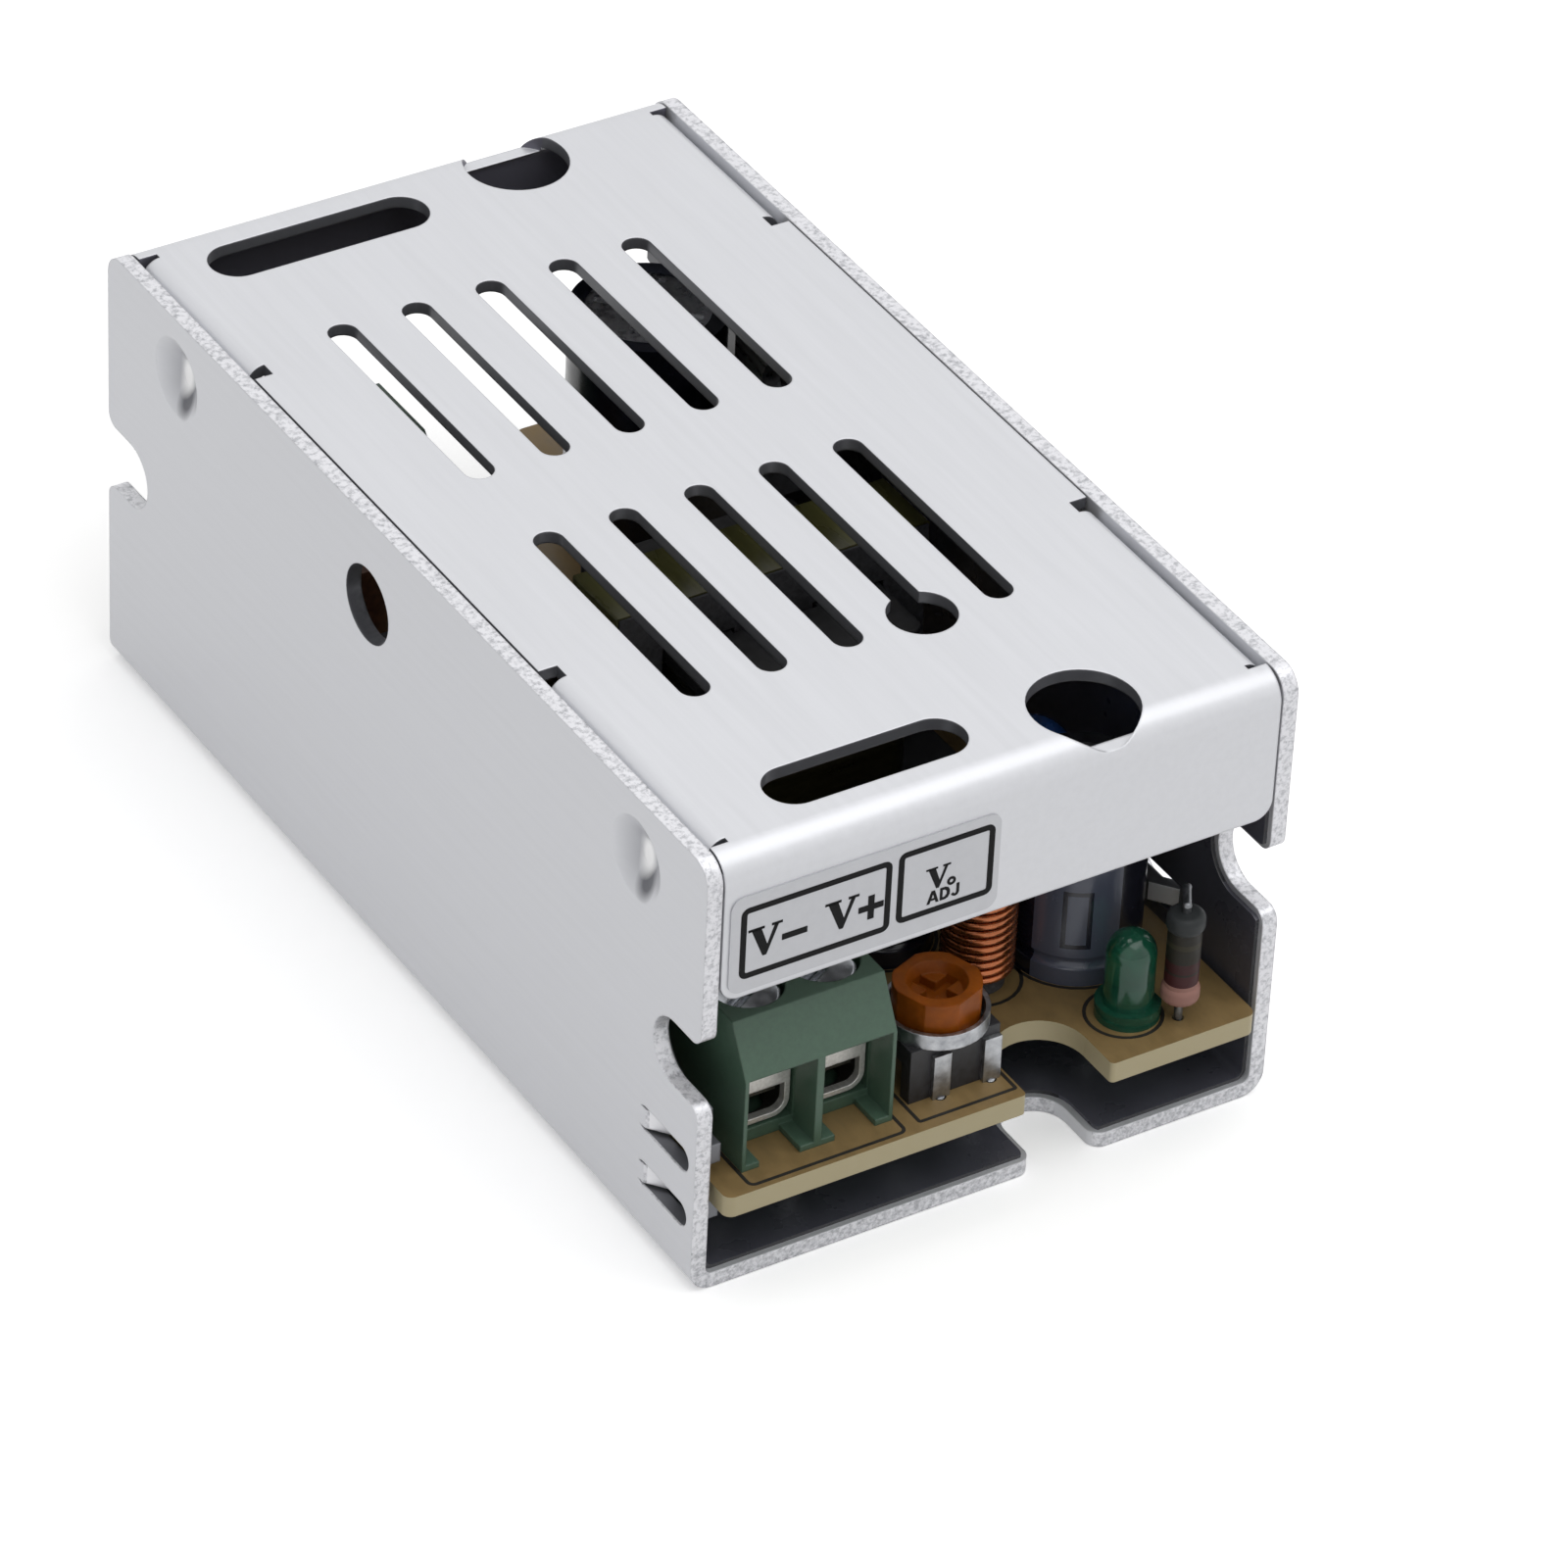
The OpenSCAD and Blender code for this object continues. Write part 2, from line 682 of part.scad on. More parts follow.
module lance_slots() {
    for (place = lance_places, z = lance_zs)
        translate([place[0] * case_w / 2, place[1] + lance_l / 2, z])
            along_x(2 * (sheet_t + cut)) stadium(lance_l, lance_h);
}

// Tongues that stay joined to the wall at one end and are bent into the case there
module lance_tongues() {
    outer = -case_w / 2;
    inner = outer + sheet_t;
    root = lance_l - lance_h / 2;
    for (place = lance_places, z = lance_zs) translate([0, place[1] + lance_l / 2, z - tongue_h / 2])
        mirror([max(place[0], 0), 0, 0]) mirror([0, place[2], 0]) translate([0, -lance_l / 2, 0])
            linear_extrude(tongue_h) polygon([
                [outer, lance_l + cut],
                [inner, lance_l + cut],
                [inner, root],
                [inner + lance_push, root - lance_bend_l],
                [inner + lance_push, lance_slit],
                [outer + lance_push, lance_slit],
                [outer + lance_push, root - lance_bend_l],
                [outer, root],
            ]);
}

module chassis() color("#c4c5c9") {
    difference() {
        union() {
            along_y(case_l) difference() {
                tray_outline(case_w, case_h, bend_r + sheet_t);
                translate([0, sheet_t]) tray_outline(case_w - 2 * sheet_t, case_h, bend_r);
            }
            at_dimples() rotate_extrude() polygon([
                [0, sheet_t / 2],
                [dimple_d / 2, sheet_t / 2],
                [dimple_d / 2, sheet_t],
                [dimple_floor_d / 2, sheet_t + dimple_depth],
                [0, sheet_t + dimple_depth],
            ]);
        }
        wall_slots();
        base_slots();
        lance_slots();
        along_x(case_w + 2 * cut) both_ends() translate([front, case_h]) corner_cut(wall_corner_r);
        at_dimples() rotate_extrude() polygon([
            [0, -cut],
            [dimple_d / 2, -cut],
            [dimple_d / 2, 0],
            [dimple_floor_d / 2, dimple_depth],
            [0, dimple_depth],
        ]);
        translate([-case_w / 2 - cut, front + side_hole_y, side_hole_z]) rotate([0, 90, 0])
            cylinder(d = side_hole_d, h = sheet_t + 2 * cut);
    }
    lance_tongues();
}

module insulation_sheet() color("#1c1d24") {
    r = bend_r + film_t;
    w = case_w - 2 * sheet_t;
    difference() {
        along_y(case_l - 2 * film_margin) translate([0, sheet_t]) difference() {
            tray_outline(w, film_h, r);
            translate([0, film_t]) tray_outline(w - 2 * film_t, film_h, r - film_t);
        }
        wall_slots(film_margin);
        base_slots(film_margin);
        for (place = lance_places, z = lance_zs)
            translate([place[0] * case_w / 2, place[1] + lance_l / 2, z]) cube([
                2 * (sheet_t + film_t + cut), lance_l + 2 * film_margin, lance_h + 2 * film_margin
            ], center = true);
    }
}

// Cover

module bent_strip(l, h, r) {
    difference() {
        mirror([0, 1]) tray_outline(l, h, r);
        translate([0, -cover_t]) mirror([0, 1]) tray_outline(l - 2 * cover_t, h, r - cover_t);
    }
}

module vent_holes() {
    deep = cover_t + 2 * cut;
    translate([vent_shift_x, vent_shift_y, case_h - cover_t - cut]) linear_extrude(deep) {
        for (row = [-1, 1], i = [0 : slots_n - 1])
            translate([(i - (slots_n - 1) / 2) * vent_pitch, row * vent_row_y])
                rotate(90) stadium(vent_l, vent_w);
        translate([(key_slot - (slots_n - 1) / 2) * vent_pitch, (vent_w - vent_l) / 2 - vent_row_y])
            circle(d = key_hole_d);
    }
    translate([oblong_front_x, front + oblong_inset, case_h - cover_t - cut]) linear_extrude(deep)
        stadium(oblong_front_l, oblong_w);
    translate([oblong_rear_x, rear - oblong_inset, case_h - cover_t - cut]) linear_extrude(deep)
        stadium(oblong_rear_l, oblong_w);
    for (y = [front + access_front_y, rear - access_rear_y])
        translate([access_x, y, case_h - access_drop]) cylinder(d = access_d, h = access_drop + cut);
}

// The plate's edges make way for the side tabs, with a nick at each inner tab end
module tab_relief() {
    edge = tab_bend_r + cut;
    for (span = tab_spans, side = [0, 1]) {
        inward = sign(span[1] - span[0]);
        low = min(span[0] - inward * tab_slit_w, span[1] + inward * tab_nick_w);
        high = max(span[0] - inward * tab_slit_w, span[1] + inward * tab_nick_w);
        mirror([side, 0, 0]) translate([cover_w / 2 - tab_bend_r, low, case_h - cover_t - cut])
            cube([edge, high - low, cover_t + 2 * cut]);
    }
}

module cover() color("#dcdce0") {
    difference() {
        union() {
            difference() {
                translate([0, 0, case_h]) along_x(cover_w) bent_strip(case_l, flap_h, flap_bend_r);
                tab_relief();
                translate([0, 0, case_h - flap_h]) along_y(case_l + 2 * cut) both_ends()
                    translate([-cover_w / 2, 0]) mirror([0, 1]) corner_cut(flap_corner_r);
            }
            for (span = tab_spans) translate([0, (span[0] + span[1]) / 2, case_h])
                along_y(abs(span[1] - span[0])) bent_strip(cover_w, tab_h, tab_bend_r);
        }
        vent_holes();
        at_dimples() translate([0, 0, sheet_t])
            cylinder(d = dimple_d + 2 * cover_gap, h = cover_gap + cover_t + cut);
    }
}

module terminal_label() color("#c9cace") {
    x = label_inset + label_w / 2 - cover_w / 2;
    z = case_h - flap_h + label_inset + label_h / 2;
    translate([x, front - label_t / 2, z]) along_y(label_t) rounded_rect(label_w, label_h, label_r);
}

// Board

module circuit_board() color("#b59a5a") {
    on_board() translate([0, 0, -board_t]) linear_extrude(board_t) difference() {
        translate([board_w / 2, board_l / 2]) rounded_rect(board_w, board_l, board_corner_r);
        translate([board_w / 2 + notch_front_x, 0]) u_slot(notch_w, notch_d, notch_mouth_r);
        translate([board_w / 2 + access_x, board_l]) rotate(180) u_slot(notch_w, notch_d, notch_mouth_r);
        for (lead = leads) translate([lead[0], lead[1]]) circle(d = lead[2] + 2 * lead_gap);
    }
}

module solder_joints() color("#b8bbc0") {
    on_board() for (lead = leads) translate([lead[0], lead[1], -board_t - joint_h]) difference() {
        bore = lead[2] + lead_gap / 2;
        cylinder(d1 = bore + joint_ring / 2, d2 = bore + 2 * joint_ring, h = joint_h);
        translate([0, 0, -cut]) cylinder(d = bore, h = joint_h + 2 * cut);
    }
}

// Terminal blocks: each way has its wire face on y = 0 and its middle on x = 0

module terminal_way_cuts() {
    pocket_w = tb_pitch - tb_rib;
    shaft_w = clamp_w + 2 * clamp_gap;
    slot_w = bar_w + 2 * seat_gap;
    foot_space = pocket_w - 2 * foot_w;
    translate([-pocket_w / 2, -cut, foot_t]) cube([pocket_w, pocket_d + cut, pocket_h - foot_t]);
    translate([-foot_space / 2, -cut, -cut]) cube([foot_space, pocket_d + cut, foot_t + 2 * cut]);
    translate([-shaft_w / 2, pocket_d - cut, clamp_z - clamp_gap])
        cube([shaft_w, shaft_rear - pocket_d + cut, pocket_h - clamp_z + clamp_gap]);
    translate([-shaft_w / 2, pocket_d, pocket_h - cut])
        cube([shaft_w, shaft_rear - pocket_d, shaft_top - pocket_h + cut]);
    translate([-slot_w / 2, shaft_rear - cut, -cut]) cube([slot_w, strip_t + cut, bar_top + seat_gap + cut]);
    translate([0, screw_y, shaft_top - cut])
        cylinder(d = screw_d + 2 * shank_fit, h = shoulder_t + 2 * cut);
    translate([0, screw_y, shoulder_z]) cylinder(d = screw_head_d + 2 * head_gap, h = tb_h);
}

module terminal_housing(ways) {
    difference() {
        translate([-tb_pitch / 2, 0, 0]) rotate([90, 0, 90]) linear_extrude(ways * tb_pitch) polygon([
            [0, 0],
            [tb_d, 0],
            [tb_d, tb_h - tb_chamfer],
            [tb_d - tb_chamfer, tb_h],
            [tb_slope_d, tb_h],
            [0, pocket_h],
        ]);
        for (i = [0 : ways - 1]) translate([i * tb_pitch, 0, 0]) terminal_way_cuts();
    }
}

// A bent strap with a threaded top, which the screw draws up against the contact bar
module terminal_clamp() color("#c9ccd0") {
    difference() {
        translate([0, clamp_y + clamp_d / 2, clamp_z]) along_y(clamp_d) difference() {
            tray_outline(clamp_w, clamp_h, clamp_r);
            translate([0, clamp_t]) tray_outline(clamp_w - 2 * clamp_t, clamp_hole_h, clamp_r - clamp_t);
        }
        translate([0, screw_y, clamp_z]) cylinder(d = screw_d + 2 * shank_fit, h = clamp_h + cut);
    }
}

module terminal_screw() color("#d0d2d6") {
    head_z = shoulder_z + seat_gap;
    translate([0, screw_y, 0]) difference() {
        union() {
            translate([0, 0, bar_top + seat_gap]) cylinder(d = screw_d, h = head_z - bar_top);
            translate([0, 0, head_z]) cylinder(d = screw_head_d, h = screw_head_h);
        }
        translate([0, 0, head_z + screw_head_h]) rotate(30)
            cube([screw_head_d + cut, screw_slot_w, 2 * screw_slot_d], center = true);
    }
}

// Fixed bar inside the clamp, with the strip and the pin that carry it
module terminal_contact() {
    bar_y = clamp_y + clamp_t;
    translate([-bar_w / 2, bar_y, bar_top - bar_t]) cube([bar_w, shaft_rear + strip_t - bar_y, bar_t]);
    translate([-bar_w / 2, shaft_rear, 0]) cube([bar_w, strip_t, bar_top]);
    translate([0, strip_y, 0]) mirror([0, 0, 1]) cylinder(d = tb_pin_d, h = board_t + lead_tail);
}

module at_output(i) on_board() at_point(out_ats[i]) children();
module at_input(i) on_board() at_point(in_ats[i]) rotate(180) children();

module output_terminal_housing() color("#4d7a5a") at_output(0) terminal_housing(out_ways);
module output_clamp_1() at_output(0) terminal_clamp();
module output_clamp_2() at_output(1) terminal_clamp();
module output_screw_1() at_output(0) terminal_screw();
module output_screw_2() at_output(1) terminal_screw();
module output_terminal_contacts() color("#c2c5ca") {
    for (i = [0 : out_ways - 1]) at_output(i) terminal_contact();
}
module input_terminal_housing() color("#4d7a5a") at_input(in_ways - 1) terminal_housing(in_ways);
module input_clamp_1() at_input(0) terminal_clamp();
module input_clamp_2() at_input(1) terminal_clamp();
module input_clamp_3() at_input(2) terminal_clamp();
module input_screw_1() at_input(0) terminal_screw();
module input_screw_2() at_input(1) terminal_screw();
module input_screw_3() at_input(2) terminal_screw();
module input_terminal_contacts() color("#c2c5ca") {
    for (i = [0 : in_ways - 1]) at_input(i) terminal_contact();
}

// Trimmer

module trimmer_base() color("#26262a") {
    skirt_t = 0.9;
    on_board() at_point(trim_at) difference() {
        union() {
            translate([-trim_size / 2, -trim_front_y, trim_base_z])
                cube([trim_size, trim_front_y + trim_size / 2 - trim_leg_t, trim_base_t]);
            translate([-trim_size / 2, -trim_front_y, 0]) cube([trim_size, skirt_t, trim_base_z + cut]);
        }
        cylinder(d = trim_pivot_d + 2 * shank_fit, h = trim_top + cut);
    }
}

module trimmer_collar() color("#a9abaf") {
    wall = (trim_collar_d - trim_rotor_d) / 2 - head_gap;
    on_board() at_point(trim_at, trim_top) difference() {
        cylinder(d = trim_collar_d, h = trim_collar_h);
        translate([0, 0, -cut]) cylinder(d = trim_collar_d - 2 * wall, h = trim_collar_h + 2 * cut);
    }
}

module trimmer_legs() color("#c5c7cb") {
    on_board() {
        for (at = trim_leg_ats) at_point(at) {
            translate([-trim_leg_w / 2, -trim_leg_t / 2, 0])
                cube([trim_leg_w, trim_leg_t, trim_base_z + trim_base_t / 2]);
        }
        lead_ends(trim_leg_ats, trim_leg_d);
    }
}

module trimmer_rotor() color("#d9641a") {
    slot_l = 3;
    slot_w = 0.8;
    slot_d = 1.3;
    rim_t = 0.6;
    dish_h = 0.7;
    dish_d = trim_rotor_flats - 2 * rim_t;
    on_board() at_point(trim_at) difference() {
        union() {
            translate([0, 0, trim_top + trim_lift]) linear_extrude(trim_rotor_h) intersection() {
                circle(d = trim_rotor_d);
                rotate(20) square(trim_rotor_flats, center = true);
            }
            translate([0, 0, trim_base_z]) cylinder(d = trim_pivot_d, h = trim_base_t + trim_lift);
        }
        translate([0, 0, trim_top + trim_lift + trim_rotor_h]) {
            translate([0, 0, -dish_h]) cylinder(d1 = slot_l, d2 = dish_d, h = dish_h);
            for (turn = [20, 110]) rotate(turn) cube([slot_l, slot_w, 2 * slot_d], center = true);
        }
    }
}

// Indicator lamp and its resistor

module led_lead_shape() {
    lead_ends(led_leads, led_lead_d, led_post_h);
}

module led_lens() color("#1f9a52") {
    flat = led_flange_d / 2 - 0.25;
    on_board() difference() {
        at_point(led_at) {
            intersection() {
                cylinder(d = led_flange_d, h = led_flange_h);
                translate([-led_flange_d, -led_flange_d, 0])
                    cube([led_flange_d + flat, 2 * led_flange_d, led_flange_h]);
            }
            cylinder(d = led_d, h = led_h - led_d / 2);
            translate([0, 0, led_h - led_d / 2]) sphere(d = led_d);
        }
        led_lead_shape();
    }
}

module led_leads() color("#c5c7cb") on_board() led_lead_shape();

module lying_frame(points, z) {
    middle = (points[0] + points[1]) / 2;
    along = points[1] - points[0];
    at_point(middle, z) rotate([0, 90, atan2(along.y, along.x)]) children();
}

module led_resistor() color("#8a5f50") {
    end_l = resistor_l / 5;
    waist_d = resistor_d * 0.88;
    round_r = end_l / 3;
    on_board() at_point(resistor_at, resistor_z) rotate_extrude() {
        translate([0, round_r]) square([waist_d / 2, resistor_l - 2 * round_r]);
        for (y = [0, resistor_l - end_l]) translate([0, y]) {
            square([resistor_d / 2 - round_r, end_l]);
            translate([0, round_r]) square([resistor_d / 2, end_l - 2 * round_r]);
            for (z = [round_r, end_l - round_r]) translate([resistor_d / 2 - round_r, z]) circle(round_r);
        }
    }
}

// One lead straight down, the other over the top and down behind the body
module led_resistor_leads() color("#d5d7da") {
    top = resistor_z + resistor_l;
    bridge_z = top + resistor_rise;
    on_board() {
        lead_ends([resistor_leads[0]], resistor_lead_d, resistor_z);
        at_point(resistor_at, top) cylinder(d = resistor_lead_d, h = resistor_rise);
        lead_ends([resistor_leads[1]], resistor_lead_d, bridge_z);
        for (p = resistor_leads) at_point(p, bridge_z) sphere(d = resistor_knee_d);
        at_point(resistor_at, bridge_z) rotate([0, 90, resistor_angle])
            cylinder(d = resistor_lead_d, h = resistor_span);
    }
}

// Choke: wire swept along a helix, with both ends led down through the board

function polar(r, a, z) = [r * cos(a), r * sin(a), z];
choke_turn_total = choke_turns + (choke_return_angle - choke_start_angle) / 360;
choke_coil_top = choke_coil_z + choke_turn_total * choke_pitch;
choke_path = concat(
    [for (z = [-board_t - lead_tail, -board_t / 2, choke_coil_z - choke_wire_d])
        polar(choke_coil_r, choke_start_angle, z)],
    [for (i = [0 : ceil(choke_turn_total * coil_steps)])
        let (t = min(i / coil_steps, choke_turn_total))
        polar(choke_coil_r, choke_start_angle + 360 * t, choke_coil_z + t * choke_pitch)],
    [polar((choke_coil_r + choke_return_r) / 2, choke_return_angle + 8, choke_coil_top + choke_wire_d / 2),
        polar(choke_return_r, choke_return_angle + 8, choke_coil_top),
        for (z = [choke_coil_top - choke_wire_d, -board_t / 2, -board_t - lead_tail])
            polar(choke_return_r, choke_return_angle, z)]
);

function unit(v) = v / norm(v);
function tangent(path, i) = unit(path[min(i + 1, len(path) - 1)] - path[max(i - 1, 0)]);
// The ring's first axis points away from the rod's axis, square to the wire
function ring(path, i, d) =
    let (t = tangent(path, i), out = unit([path[i].x, path[i].y, 0]))
    let (u = unit(out - (out * t) * t), v = cross(t, u))
    [for (k = [0 : wire_sides - 1]) path[i] + d / 2 * (cos(360 * k / wire_sides) * u
        + sin(360 * k / wire_sides) * v)];

module swept_wire(path, d) {
    n = len(path);
    points = [for (i = [0 : n - 1], p = ring(path, i, d)) p];
    sides = [for (i = [0 : n - 2], k = [0 : wire_sides - 1]) let (m = (k + 1) % wire_sides) [
        i * wire_sides + k, (i + 1) * wire_sides + k, (i + 1) * wire_sides + m, i * wire_sides + m,
    ]];
    first = [for (k = [0 : wire_sides - 1]) k];
    last = [for (k = [wire_sides - 1 : -1 : 0]) (n - 1) * wire_sides + k];
    polyhedron(points, concat(sides, [first, last]));
}

module choke_core() color("#3a3a3e") {
    on_board() at_point(choke_at) cylinder(d = choke_core_d, h = choke_core_h);
}

module choke_winding() color("#b86a3c") on_board() at_point(choke_at) swept_wire(choke_path, choke_wire_d);

// Electrolytic capacitors

bead_r = 0.6;
bead_z = 1.6;
sleeve_lip = 0.9;
vent_mark_w = 0.5;
vent_mark_d = 0.15;

module can_outline(r, h, grow = 0) {
    difference() {
        translate([0, grow > 0 ? -cut : 0]) square([r + grow, h + grow + (grow > 0 ? cut : 0)]);
        translate([r + bead_r / 2, bead_z]) circle(bead_r - grow);
    }
}

module capacitor_can(at, d, h) {
    r = d / 2 - sleeve_t;
    on_board() at_point(at) difference() {
        rotate_extrude() can_outline(r, h - sleeve_t);
        for (turn = [0, 90]) translate([0, 0, h - sleeve_t]) rotate(turn + 45)
            cube([d * 0.7, vent_mark_w, 2 * vent_mark_d], center = true);
    }
}

module capacitor_sleeve(at, d, h) {
    r = d / 2 - sleeve_t;
    on_board() at_point(at) rotate_extrude() difference() {
        square([r + sleeve_t, h]);
        translate([r + bead_r / 2, bead_z]) circle(bead_r - sleeve_t);
        can_outline(r, h - sleeve_t, sleeve_gap);
        translate([0, h - sleeve_t]) square([r - sleeve_lip, sleeve_t + cut]);
    }
}

module output_capacitor_1() color("#d8d9dc") capacitor_can(out_cap_at, out_cap_d, out_cap_h);
module output_capacitor_2() color("#d8d9dc") capacitor_can(second_cap_at, second_cap_d, second_cap_h);
module bulk_capacitor() color("#d8d9dc") capacitor_can(bulk_cap_at, bulk_cap_d, bulk_cap_h);
module output_capacitor_1_sleeve() color("#22242c") capacitor_sleeve(out_cap_at, out_cap_d, out_cap_h);
module output_capacitor_2_sleeve() color("#22242c") {
    capacitor_sleeve(second_cap_at, second_cap_d, second_cap_h);
}
module bulk_capacitor_sleeve() color("#2a2438") capacitor_sleeve(bulk_cap_at, bulk_cap_d, bulk_cap_h);
module capacitor_leads() color("#c5c7cb") on_board() lead_ends(cap_leads, cap_lead_d);

module safety_lead_shape() lead_ends(disc_leads, disc_lead_d, disc_z + disc_d / 2);

module safety_capacitor() color("#2f62b0") {
    on_board() difference() {
        at_point(disc_at, disc_z + disc_d / 2) rotate([0, 90, 0]) rotate_extrude() {
            translate([0, -disc_t / 2]) square([disc_d / 2 - disc_round, disc_t]);
            translate([0, disc_round - disc_t / 2]) square([disc_d / 2, disc_t - 2 * disc_round]);
            for (side = [-1, 1])
                translate([disc_d / 2 - disc_round, side * (disc_t / 2 - disc_round)]) circle(disc_round);
        }
        safety_lead_shape();
    }
}

module safety_capacitor_leads() color("#c5c7cb") on_board() safety_lead_shape();

// Transformer: two E cores through a bobbin, bound with tape

module in_trafo() on_board() at_point(trafo_at) children();

module core_half() {
    half = core_h / 2;
    translate([-core_w / 2, -core_d / 2, 0]) cube([core_w, core_d, core_leg]);
    for (side = [-1, 1]) translate([side * (core_w - core_leg) / 2 - core_leg / 2, -core_d / 2, 0])
        cube([core_leg, core_d, half]);
    translate([-core_centre / 2, -core_d / 2, 0]) cube([core_centre, core_d, half - core_air / 2]);
}

module transformer_core_lower() color("#3b3a3a") in_trafo() translate([0, 0, core_z]) core_half();
module transformer_core_upper() color("#3b3a3a") {
    in_trafo() translate([0, 0, core_z + core_h]) mirror([0, 0, 1]) core_half();
}

module bobbin_slab(w, l, t) linear_extrude(t) rounded_rect(w, l, bobbin_wall);

module transformer_bobbin() color("#1e1e20") {
    rail_w = bobbin_w + 2 * core_leg;
    rail_y = (bobbin_l - rail_d) / 2;
    tube_hole = core_centre + 2 * bobbin_gap;
    in_trafo() difference() {
        union() {
            translate([0, 0, window_z + bobbin_gap]) {
                bobbin_slab(bobbin_w, bobbin_l, bobbin_flange_t);
                bobbin_slab(bobbin_tube, bobbin_tube, window_h - 2 * bobbin_gap);
            }
            translate([0, 0, window_z + window_h - bobbin_gap - bobbin_flange_t])
                bobbin_slab(bobbin_w, bobbin_l, bobbin_flange_t);
            for (side = [-1, 1]) translate([-rail_w / 2, side * rail_y - rail_d / 2, 0])
                cube([rail_w, rail_d, window_z + bobbin_gap + bobbin_flange_t]);
        }
        translate([-tube_hole / 2, -tube_hole / 2, 0]) cube([tube_hole, tube_hole, core_z + core_h]);
    }
}

module transformer_winding() color("#2c2a1e") {
    low = window_z + bobbin_gap + bobbin_flange_t;
    high = window_z + window_h - bobbin_gap - bobbin_flange_t;
    margin = 0.4;
    in_trafo() translate([0, 0, low]) linear_extrude(high - low) difference() {
        rounded_rect(bobbin_w - margin, bobbin_l - margin, 2 * bobbin_wall);
        rounded_rect(bobbin_tube, bobbin_tube, bobbin_wall);
    }
}

module transformer_tape() color("#6f7232") {
    in_trafo() translate([0, 0, core_z + core_h / 2]) along_y(tape_w) difference() {
        rounded_rect(core_w + 2 * tape_t, core_h + 2 * tape_t, tape_t);
        square([core_w, core_h], center = true);
    }
}

module transformer_pins() color("#c5c7cb") on_board() lead_ends(trafo_pin_ats, trafo_pin_d);

// Chips

module chip_body(at, pairs) {
    mould_gap = 0.5;
    notch_r = 0.7;
    l = pairs * leg_pitch - mould_gap;
    on_board() at_point(at, chip_z) difference() {
        translate([-chip_w / 2, -l / 2, 0]) cube([chip_w, l, chip_h]);
        translate([0, l / 2, chip_h - mould_gap]) cylinder(r = notch_r, h = 2 * mould_gap);
    }
}

module controller_chip() color("#242427") chip_body(chip_at, chip_pairs);
module optocoupler() color("#e4e2da") chip_body(opto_at, opto_pairs);

module chip_leg_row(at, pairs) {
    shoulder_z = chip_z + chip_h / 2;
    for (p = chip_leg_ats(at, pairs)) {
        side = sign(p.x - at.x);
        inner = chip_w / 2;
        at_point([at.x, p.y]) mirror([side < 0 ? 1 : 0, 0, 0]) {
            translate([inner, -leg_w / 2, shoulder_z]) cube([leg_row / 2 - inner + leg_t / 2, leg_w, leg_t]);
            translate([leg_row / 2 - leg_t / 2, -leg_w / 2, 0]) cube([leg_t, leg_w, shoulder_z + leg_t]);
        }
    }
}

module chip_legs() color("#c5c7cb") on_board() {
    chip_leg_row(chip_at, chip_pairs);
    chip_leg_row(opto_at, opto_pairs);
    lead_ends(chip_legs_all, leg_pin_d);
}

// Lying diodes

module lying_diode(points, d, l) {
    lying_frame(points, d / 2 + rect_lift) cylinder(d = d, h = l, center = true);
}

function couple(list, i) = [list[2 * i], list[2 * i + 1]];

module rectifier_diodes() color("#262628") on_board() {
    for (i = [0 : rect_n - 1]) lying_diode(couple(rect_leads, i), rect_d, rect_l);
}

module output_diode() color("#262628") on_board() lying_diode(catch_leads, catch_d, catch_l);

module diode_leads() color("#d5d7da") on_board() {
    for (i = [0 : rect_n - 1]) straight_leads(couple(rect_leads, i), rect_lead_d, rect_d, rect_l);
    straight_leads(catch_leads, catch_lead_d, catch_d, catch_l);
}

// Leads that reach from the ends of a lying body to their holes
module straight_leads(points, d, body_d, body_l) {
    z = body_d / 2 + rect_lift;
    reach = (norm(points[1] - points[0]) - body_l) / 2;
    lead_ends(points, d, z);
    for (i = [0, 1]) {
        inward = unit(points[1 - i] - points[i]);
        at_point(points[i], z) {
            sphere(d = d);
            rotate([0, 90, atan2(inward.y, inward.x)]) cylinder(d = d, h = reach);
        }
    }
}

// Fuse, transistor and reference

module fuse() color("#5a3a2a") {
    step_h = 1;
    step_in = 0.4;
    on_board() at_point(fuse_at) {
        cylinder(d = fuse_d, h = step_h);
        cylinder(d = fuse_d - 2 * step_in, h = fuse_h);
    }
}

module fuse_leads() color("#c5c7cb") on_board() lead_ends(fuse_leads, fuse_lead_d);

// The plastic body faces -X, with the metal tab behind it
module in_transistor() on_board() at_point(transistor_at, transistor_z) children();

module power_transistor() color("#232326") in_transistor() {
    body_t = transistor_t - transistor_tab_t;
    translate([-transistor_t, -transistor_w / 2, 0]) cube([body_t, transistor_w, transistor_body_h]);
}

module power_transistor_tab() color("#b9bbbf") {
    leg_depth = transistor_leg_d / 2;
    in_transistor() difference() {
        translate([-transistor_tab_t, -transistor_w / 2, 0])
            cube([transistor_tab_t, transistor_w, transistor_tab_h]);
        translate([-transistor_tab_t - cut, 0, transistor_tab_h - transistor_hole_drop]) rotate([0, 90, 0])
            cylinder(d = transistor_hole_d, h = transistor_tab_t + 2 * cut);
    }
    on_board() lead_ends(transistor_leg_ats, transistor_leg_d, transistor_z);
}

module voltage_reference() color("#252528") {
    on_board() at_point(reference_at, reference_z) linear_extrude(reference_h) difference() {
        circle(d = reference_d);
        translate([-reference_d / 2, reference_flat]) square([reference_d, reference_d]);
    }
}

module voltage_reference_legs() color("#c5c7cb") {
    on_board() lead_ends(reference_legs, reference_leg_d, reference_z);
}

